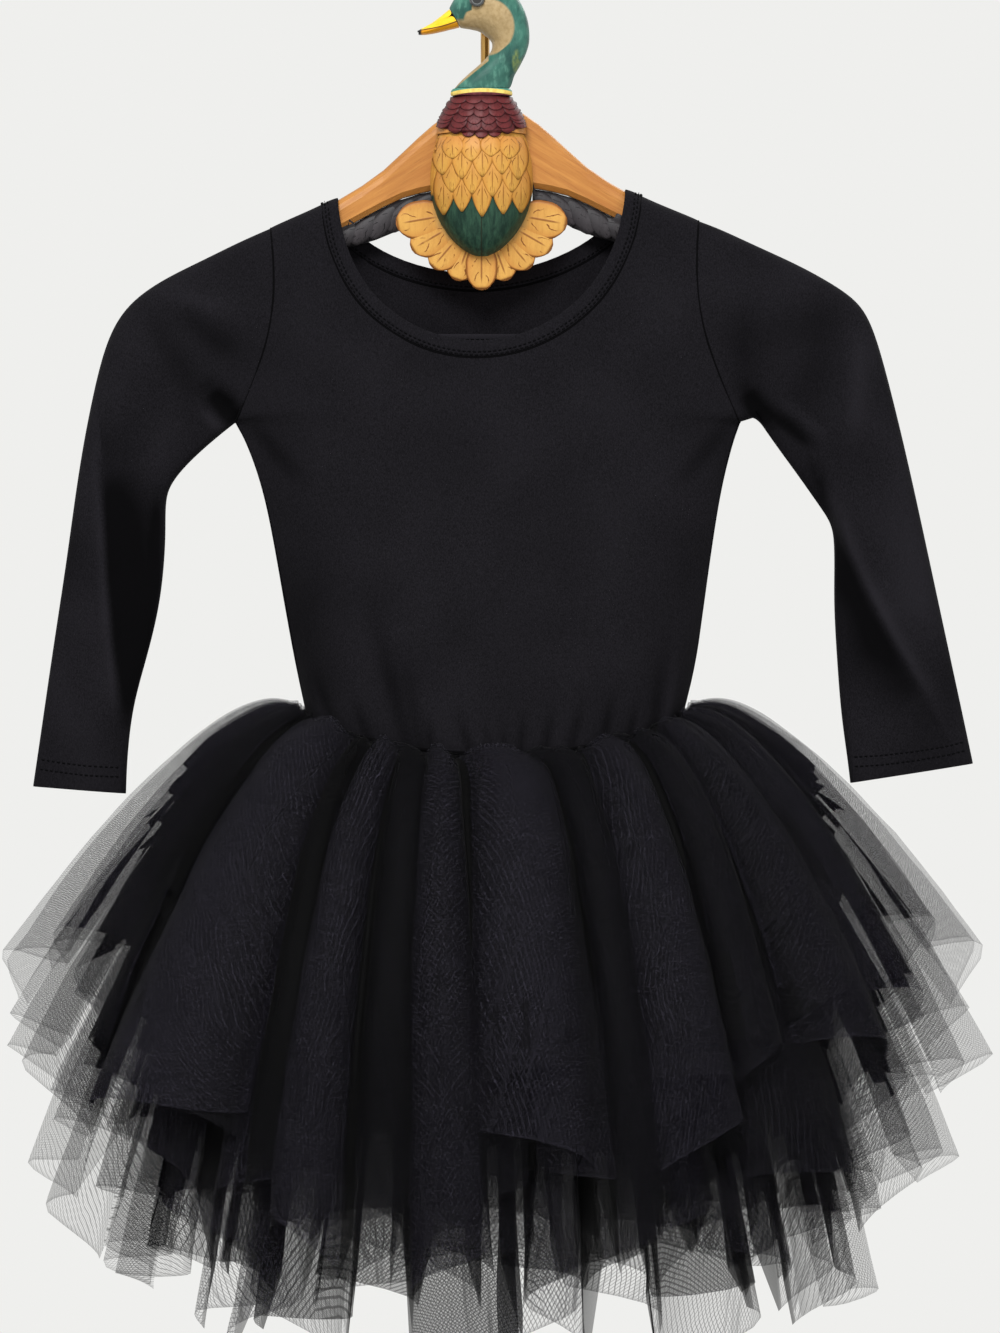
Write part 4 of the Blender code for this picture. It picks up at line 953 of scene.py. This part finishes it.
class Folds:
    """The columns of one ply, fold by fold from one side seam round to the other."""

    def __init__(self, rows, seed):
        table = np.array(rows, dtype=float)
        self.fold = np.array([i for i in range(len(rows)) for _ in FOLD_STEPS] + [len(rows) - 1])
        self.v = np.array(FOLD_STEPS * len(rows) + (1.0,))     # place across its own fold
        self.height, self.overlap, self.longer, self.corner, self.light = table[self.fold, 2:].T
        waist, hem = spread_out(table[:, 0]), spread_out(table[:, 1])
        self.waist_width, self.hem_width = np.diff(waist)[self.fold], np.diff(hem)[self.fold]
        self.at_waist = waist[self.fold] + self.waist_width * self.v
        self.at_hem = hem[self.fold] + self.hem_width * self.v
        place = self.v + self.fold
        self.edge_fade = np.minimum(np.minimum(place, len(rows) - place), 1)
        self.crest = ((1 - np.cos(2 * math.pi * self.v)) / 2)**0.75
        self.seed = seed

    def angle(self, share):
        """Way round the half skirt of each column, a share of the way down."""
        open_up = share**OPENS
        width = self.waist_width + (self.hem_width - self.waist_width) * open_up
        sway = SWAY * self.hem_width * np.sin(3.1 * share + 2.3 * self.fold + self.seed) * share
        lap = self.overlap * share**LAPS * width * np.sin(2 * math.pi * self.v) / (2 * math.pi)
        straight = self.at_waist + (self.at_hem - self.at_waist) * open_up
        return np.clip(straight - (lap - sway) * self.edge_fade, 0, math.pi)

    def lift(self, share, angle):
        """How far each column stands off the layer's profile, with fine gathers at the waist."""
        rise = 0.22 * (1 - math.exp(-share / RISES)) + 0.78 * share**1.1
        gathers = 0.9 * math.exp(-share / 0.1) * np.sin(6 * math.pi * self.v + self.fold)
        return self.height * rise * (self.crest - 0.35 - 0.4 * np.cos(angle)**2) + gathers

    def puff(self, share):
        """Little heads of net that stand up just below the waist seam."""
        near = share / PUFF_AT * math.exp(1 - share / PUFF_AT)
        return (2.0 + 0.24 * self.height) * self.crest * near

    def tone(self, share, sheer, inner):
        """Painted light on each column: painted shade between folds, and a painted highlight along
        each turned edge.
        """
        lapped = np.maximum(self.overlap * share**LAPS, 1.0001)
        turn = np.arccos(np.clip(1 / lapped, -1, 1)) / (2 * math.pi)
        inwards = np.minimum(self.v, 1 - self.v) - np.maximum(turn, VALLEY)
        line = np.exp(-((inwards - 0.01) / 0.024)**2)
        dark = np.clip(-inwards / 0.02 + 0.2, 0, 1) * (1 - 0.6 * sheer) * (1 - 0.6 * share**8)
        shade = FACE_TONE - 0.3 * np.exp(-np.maximum(inwards - 0.03, 0) / 0.1)
        shade = (shade * self.light + CREST_HIGHLIGHT * line * min(share * 8, 1)) * (1 - dark)
        # layers below get painted shade under the layer above, easing near their own hems; the
        # waist rows get painted shade too
        if inner:
            shade = shade * (0.42 + 0.5 * min(max((share - 0.78) / 0.2, 0), 1))
        return shade * 0.5 if share < 0.03 else shade


def waist_points(angle, key, inset):
    c = np.cos(angle)
    x = (WAIST_HALF - inset) * c
    z = WAIST_Z - WAIST_DIP[key] * (1 - np.minimum(np.abs(x / WAIST_HALF), 1)**2.2)
    y = (WAIST_DEPTH[key] - inset) * (1 - np.minimum(np.abs(c), 1)**2.4)**0.52
    return np.stack([WAIST_MIDDLE + x, SIDE_OF[key] * y, z], axis=-1)


def bezier(points, t):
    while len(points) > 1:
        points = [a * (1 - t) + b * t for a, b in zip(points, points[1:])]
    return points[0]


def layer_profile(layer, angle, t):
    """Out and down from the waist, and the way off the cloth, for each column."""
    front = (np.sin(angle)**2)[:, None]
    start = np.array([5.0 - 1.2 * layer, 3.5 + 2.8 * layer])
    controls = [np.broadcast_to(start, (len(angle), 2))]
    for at_side, at_front in zip(LAYERS[layer]["side"], LAYERS[layer]["front"]):
        controls.append(np.array(at_side) * (1 - front) + np.array(at_front) * front)
    t = t[:, None]
    slope = unit(bezier(controls, t + 0.02) - bezier(controls, np.maximum(t - 0.02, 0)))
    return bezier(controls, t), np.stack([slope[:, 1], -slope[:, 0]], axis=-1)


def wandering(points, size, shift):
    return np.array([noise.noise_vector(Vector(p) / size + Vector(shift)) for p in points])


def lengths_along(points, axis):
    """Distance from the first point to each one along an axis of a grid."""
    steps = np.linalg.norm(np.diff(points, axis=axis), axis=2)
    return np.concatenate([np.zeros_like(np.take(points[..., 0], [0], axis)),
                           np.cumsum(steps, axis=axis)], axis=axis)


def build_ply(name, layer, key, rows, material, under):
    """One width of net, gathered at the waist into folds that deepen to the hem."""
    side = SIDE_OF[key]
    seed = layer + (1.3 if under else 1.0)
    inset = UNDER_INSET if under else 0.0
    sink = SIDE_SINK[layer] + (UNDER_SINK if under else 0)
    near, far = (UNDER_REACH if under else TOP_REACH)[layer]
    folds = Folds(rows, seed)
    v = folds.v
    reach = near + (far - near) * np.minimum(2.2 * np.sin(folds.at_hem)**2, 1)
    stretch = reach * (1 + folds.longer + folds.corner * (2 * v - 1))
    grid = [waist_points(folds.angle(0.0), key, LAYER_INSET * layer + inset)]
    tone, sheer = [np.full(len(v), WAIST_TONE)], [np.zeros(len(v))]
    shares = np.concatenate([np.linspace(0, 1, ROWS)[:-1]**0.9, [HEM_LINE, 1.0]])
    for share in shares:
        angle = folds.angle(share)
        here, way = layer_profile(layer, angle, share * (1 + (stretch - 1) * share))
        here = here + way * (folds.lift(share, angle) - inset)[:, None]
        here[:, 0] -= sink * np.cos(angle)**6 * math.sin(math.pi * share**0.8)
        out = np.stack([np.cos(angle), side * np.sin(angle), np.zeros(len(v))], axis=-1)
        at = waist_points(angle, key, 0) + out * here[:, :1]
        at[:, 2] += folds.puff(share) - here[:, 1]
        grid.append(at)
        sheer.append(np.clip(2.6 * np.cos(angle)**2 - 1.6, 0, 1) * min(share * 1.4, 1))
        tone.append(folds.tone(share, sheer[-1], inner=layer > 0))
    sheer, shares = np.array(sheer), np.concatenate([[0.0], shares])
    shape = (len(grid), len(v), 3)
    points = np.array(grid).reshape(-1, 3) * MM
    wobble = wandering(points, WOBBLE_SIZE, (seed * 7, seed * 3, 0))
    fine = wandering(points, FINE_SIZE, (0, seed * 5, seed))
    spread = np.repeat(shares**1.2, len(v))[:, None]
    points = points + (wobble * WOBBLE + fine * WOBBLE * FINE_SHARE) * MM * spread
    past = np.maximum(np.abs(points[:, 1]) - DEEPEST, 0)
    points[:, 1] -= np.sign(points[:, 1]) * past * 0.5
    points = points.reshape(shape)
    points[:, 0, 1] = points[:, -1, 1] = side * SEAM_HALF
    piece = add_mesh(name, points.reshape(-1, 3), grid_faces(*shape[:2]), material)
    along, across = lengths_along(points, 0), lengths_along(points, 1)
    across = across - across[:, len(v) // 2][:, None]
    set_uv(piece, np.stack([across, along], axis=-1).reshape(-1, 2))
    set_value(piece, "edge", np.arange(len(grid) * len(v)) >= (len(grid) - 1) * len(v))
    set_value(piece, "tone", tone)
    set_value(piece, "sheer", sheer)
    if under:
        ends = np.clip((shares[:, None] - 0.3) / 0.6, 0, 1)
        set_value(piece, "fade", ends * np.clip(sheer * 2, 0, 1))
    return piece


def build_tulle(net, shaded_dense_net):
    for layer in range(len(LAYERS)):
        for key in SIDE_OF:
            turn = BACK_PHASE if key == "back" else 0
            if layer == 0:
                rows = TOP_FRONT if key == "front" else TOP_BACK
            else:
                rows = made_folds(13 + layer // 2, 19 - layer, 1.7 * layer + turn)
            label = f"tulle_{layer + 1}_{key}"
            piece = build_ply(label, layer, key, rows, net, under=False)
            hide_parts(f"skirt_{layer + 1}_{key}")
            rows = second_ply(rows, 3.1 * layer + turn)
            piece = build_ply(label + "_under", layer, key, rows, shaded_dense_net, under=True)


# ---- carved feathers -------------------------------------------------------
SUNK = 0.05                    # millimetres from the carved surface to a feather's foot
FLAT_FOOT = 3.0                # and from the tail's front
TAIL_FRONT = -7.0
TAIL_CENTRE = np.array([-2.0, -181.0])
# the fan's feathers from left to right: their lengths, and how far they stand out
TAIL_RADII = (49.5, 46, 43.5, 43, 46, 43, 43.5, 46, 49.5)
TAIL_LIFTS = (1.9, 1.5, 1.1, 0.7, 1.9, 0.7, 1.1, 1.5, 1.9)
BODY_ROWS = [
    # root z, tip z, half width, places in x
    (-158, -185, 6.2, (-24.5, -13.6, -1.6, 11, 21.5)),
    (-150, -174, 6.4, (-19.5, -7.5, 4.5, 16)),
    (-141, -164, 6.4, (-25, -13.5, -1.5, 10, 19.5)),
    (-141, -154, 6.2, (-19, -8, 3.5, 14.5)),
]
BREAST_ROWS = [
    # root z, tip z, half span, how many, rise of the row at its ends
    (-136, -142.4, 24.6, 7, 8.5),
    (-132.4, -138.6, 24.2, 6, 7.0),
    (-128.6, -134.8, 22.6, 6, 4.0),
    (-124.8, -130.8, 20.6, 5, 2.6),
    (-121, -127, 18.6, 5, 1.4),
    (-118, -123.2, 16.4, 4, 0.6),
]
BAND_LOBES, BAND_START, BAND_PITCH = 12, 31, 10.5


def leaf_half(kind, width, u):
    """Half width of a feather at u, its share of the way from root to tip."""
    if kind == "leaf":
        return width * math.sin(math.pi * min(0.16 + 0.84 * u, 1)**1.1)**0.75
    if kind == "lobe":
        return width * math.sqrt(max(1 - (1.9 * u - 0.9)**2, 0))
    straight, start = (0.35, 1) if kind == "scale" else (0.66, 0.35 + 0.65 * min(u / 0.5, 1))
    return width * start * math.sqrt(max(1 - max((u - straight) / (1 - straight), 0)**2, 0))


class Carving:
    """Feathers of one kind, cut on a surface or, without one, on the tail's flat front."""

    def __init__(self, kind, rows=10, columns=9):
        self.kind, self.rows, self.columns = kind, rows, columns
        self.points, self.faces, self.uvs = [], [], []

    def leaf(self, tree, root, tip, width, lift, bulge):
        """One feather from root to tip: a raised plate with a steep rim."""
        root, along = np.array(root, dtype=float), np.subtract(tip, root)
        across = np.array([-along[1], along[0]]) / np.linalg.norm(along)
        self.faces += grid_faces(self.rows + 1, self.columns + 2, start=len(self.points))
        down = [(k / (self.rows - 1), False) for k in range(self.rows)] + [(1.0, True)]
        over = [(2 * k / (self.columns - 1) - 1, False) for k in range(self.columns)]
        for u, foot in down:
            half = leaf_half(self.kind, width, min(u, 0.985))
            for v, edge in [(-1.0, True), *over, (1.0, True)]:
                x, z = root + along * u + across * v * half
                if tree is not None:
                    arch = math.sin(math.pi * min(u + 0.1, 1))
                    rise = lift * (0.3 + 0.7 * u) + bulge * (1 - v * v) * arch
                    self.points.append(raised(tree, x, z, SUNK if foot or edge else rise))
                else:
                    back = FLAT_FOOT if foot or edge else 0
                    rise = lift * (0.5 + 0.5 * u) + bulge * (1 - v * v)
                    self.points.append((x * MM, (TAIL_FRONT - rise + back) * MM, z * MM))
                self.uvs.append((u, v))

    def finish(self, name, material):
        set_uv(add_mesh(name, self.points, self.faces, material), self.uvs)


def raised(tree, x, z, rise):
    """Point over a carved surface's front at (x, z), or over its nearest place."""
    found = tree.ray_cast(Vector((x * MM, -0.2, z * MM)), Vector((0, 1, 0)))
    if found[0] is None:
        found = tree.find_nearest(Vector((x * MM, -0.02, z * MM)))
    spot, normal = np.array(found[0]), np.array(found[1])
    if normal[1] > 0:
        normal = -normal
    return spot + normal * rise * MM


def band_span(tree, x):
    """Top and bottom of the painted band under an arm, at one place along it."""
    found = [z for z in np.arange(-240, -140, 0.5)
             if tree.ray_cast(Vector((x * MM, -0.1, z * MM)), Vector((0, 1, 0)))[0] is not None]
    return (max(found), min(found)) if found else None


def build_body_feathers():
    surface = node_tree("duck_body", "duck_breast")
    carving = Carving("leaf")
    for order, (top, low, half, places) in enumerate(BODY_ROWS):
        for k, x in enumerate(places):
            bend = (x - MIDDLE_X) * 0.06
            tip = (x + bend - (x - MIDDLE_X) * 0.12, low + 1.6 * math.sin(2.1 * k + order))
            carving.leaf(surface, (x - bend, top), tip, half, 0.4 + 0.22 * order, 0.2)
    ochre = feather_material("ochre_feathers", paint(200, 136, 68), paint(202, 152, 68),
                             paint(136, 84, 28), paint(190, 122, 42), rim_level=0.45)
    carving.finish("duck_body_feathers", ochre)


def build_breast_scales():
    surface = node_tree("duck_breast", "duck_body")
    carving = Carving("scale")
    for order, (top, low, span, places, rise) in enumerate(BREAST_ROWS):
        for k in range(places):
            off = 2 * (k + 0.5) / places - 1
            up = rise * off * off
            root = (MIDDLE_X + span * off, top + up)
            tip = (MIDDLE_X + span * off * 1.03, low + up)
            carving.leaf(surface, root, tip, span / places * 1.14, 1.8 + 0.05 * order, 0.3)
    scale = feather_material("breast_scales", paint(62, 18, 22), paint(102, 36, 38),
                             paint(54, 16, 20), paint(84, 28, 30), rib=False, edge=0.86)
    carving.finish("duck_breast_scales", scale)


def build_tail_feathers():
    carving = Carving("petal", rows=16, columns=11)
    middle = len(TAIL_RADII) // 2
    for i in sorted(range(len(TAIL_RADII)), key=lambda i: TAIL_LIFTS[i]):
        angle = math.radians(-170 + 20 * i)
        radius = TAIL_RADII[i] - 0.6
        way = np.array([math.cos(angle), math.sin(angle)])
        carving.leaf(None, TAIL_CENTRE + way * 13, TAIL_CENTRE + way * radius,
                     radius * (0.2 if i == middle else 0.222), TAIL_LIFTS[i], 0.5)
    tan = feather_material("tail_feathers", paint(192, 130, 58), paint(208, 157, 77),
                           paint(124, 68, 24), paint(182, 112, 46), veins=3.4,
                           stain=paint(124, 146, 112))
    carving.finish("duck_tail_feathers", tan)


def build_band_lobes():
    dark = feather_material("band_feathers", paint(40, 38, 41), paint(64, 60, 63),
                            paint(20, 18, 20), paint(46, 43, 46), rib=False, edge=0.88)
    for label, sign in (("left", -1), ("right", 1)):
        band = f"hanger_feather_{label}"
        shape, surface = node_tree(band), node_tree(band, "hanger_bar")
        carving = Carving("lobe")
        for k in range(BAND_LOBES):
            x = MIDDLE_X + sign * (BAND_START + BAND_PITCH * k)
            root, tip = band_span(shape, x), band_span(shape, x + sign * 11)
            if root and tip:
                carving.leaf(surface, (x - sign * 3, root[0] - 2.5), (x + sign * 12, tip[1] + 1.8),
                             5.4, 0.9, 0.9)
        carving.finish(f"hanger_lobes_{label}", dark)


# ---- the hanger's own solids -----------------------------------------------
def dress_nodes():
    band, eye = band_material(), eye_material()
    looks = {
        "hanger_bar": wood_material("varnished_wood", paint(166, 104, 44), paint(197, 136, 66)),
        "hanger_feather_left": band,
        "hanger_feather_right": band,
        "duck_body": body_material(),
        "duck_breast": breast_material(),
        "duck_ring": ring_material(),
        "duck_neck": head_material(),
        "duck_beak": beak_material(),
        "duck_eye_front": eye,
        "duck_eye_back": eye,
        "duck_tail": wood_material("tail_wood", paint(176, 104, 44), paint(206, 138, 66)),
        "hanger_hook": brass_material(),
    }
    for name, material in looks.items():
        data = NODES[name].data
        data.materials.clear()
        data.materials.append(material)
    for name in ("duck_neck", "duck_beak", "duck_body", "duck_breast"):
        modifiers = NODES[name].modifiers
        modifiers.new("weld", "WELD").merge_threshold = 0.01 * MM
        modifiers.new("split", "EDGE_SPLIT").split_angle = CARVED_EDGE
        round_off = modifiers.new("round", "SUBSURF")
        round_off.levels = round_off.render_levels = 2


# ---- camera, light, floor --------------------------------------------------
CAMERA_FAR = 4.0
VIEW_CENTRE = (8.5 * MM, -441.2 * MM)
VIEW_HEIGHT = 759.8 * MM
SENSOR = 36.0
BACKGROUND = rgb(239, 239, 237)
FLOOR_Z, FLOOR_HALF, FLOOR_BACK = -1.3, 2.2, 1.3
LIGHTS = [
    # name, place, what it points at, width and height, watts
    ("key", (-0.35, -1.9, 1.35), (0, 0, -0.45), (1.2, 0.8), 78),
    ("fill", (1.3, -1.9, -0.1), (0, 0, -0.5), (1.2, 1.6), 10),
    ("rim", (0.6, 1.6, 0.8), (0, 0, -0.4), (1.4, 1.0), 12),
]


def add_light(name, place, target, size, power):
    data = bpy.data.lights.new(name, "AREA")
    data.shape = "RECTANGLE"
    data.size, data.size_y = size
    data.energy = power
    light = bpy.data.objects.new(name, data)
    COLLECTION.objects.link(light)
    light.location = place
    way = Vector(target) - Vector(place)
    light.rotation_euler = way.to_track_quat("-Z", "Y").to_euler()


def build_floor():
    s = Shader("pale_floor", rgb(189, 189, 187), roughness=0.9)
    grain = s.noise(30.0)
    s.surface(base_color=s.mix(grain.ramp(0.3, 0.7), rgb(186, 186, 184), rgb(192, 192, 190)))
    corners = [(x, y, FLOOR_Z) for x, y in ((-FLOOR_HALF, -FLOOR_HALF), (FLOOR_HALF, -FLOOR_HALF),
                                            (FLOOR_HALF, FLOOR_BACK), (-FLOOR_HALF, FLOOR_BACK))]
    data = bpy.data.meshes.new("floor")
    data.from_pydata(corners, [], [(0, 1, 2, 3)])
    data.materials.append(s.material)
    plane = bpy.data.objects.new("floor", data)
    COLLECTION.objects.link(plane)


def build_stage():
    scene = bpy.context.scene
    scene.view_settings.view_transform = "Standard"
    world = bpy.data.worlds.new("studio")
    scene.world = world
    world.use_nodes = True
    world.node_tree.nodes["Background"].inputs["Color"].default_value = BACKGROUND
    world.node_tree.nodes["Background"].inputs["Strength"].default_value = 1.0
    build_floor()
    for light in LIGHTS:
        add_light(*light)
    data = bpy.data.cameras.new("camera")
    data.sensor_width = SENSOR
    data.lens = SENSOR * CAMERA_FAR / VIEW_HEIGHT
    camera = bpy.data.objects.new("camera", data)
    COLLECTION.objects.link(camera)
    camera.location = (VIEW_CENTRE[0], -CAMERA_FAR, VIEW_CENTRE[1])
    camera.rotation_euler = (math.pi / 2, 0, 0)
    scene.camera = camera


cloth, thread = jersey_material("jersey_look"), thread_material()
# the ply beneath is a denser net, and darker as painted shade under the top ply
net = tulle_material("tulle_look", 1.8)
shaded_dense_net = tulle_material("tulle_under_look", 0.4, cell=1.5 * MM, thread=0.3, weave=(0.6, 0.8),
                           ground=0.46, strong=0.8)
jersey = build_jersey(cloth)
build_seams(cloth)
build_stitches(jersey, thread)
build_tulle(net, shaded_dense_net)
dress_nodes()
build_body_feathers()
build_breast_scales()
build_tail_feathers()
build_band_lobes()
build_stage()
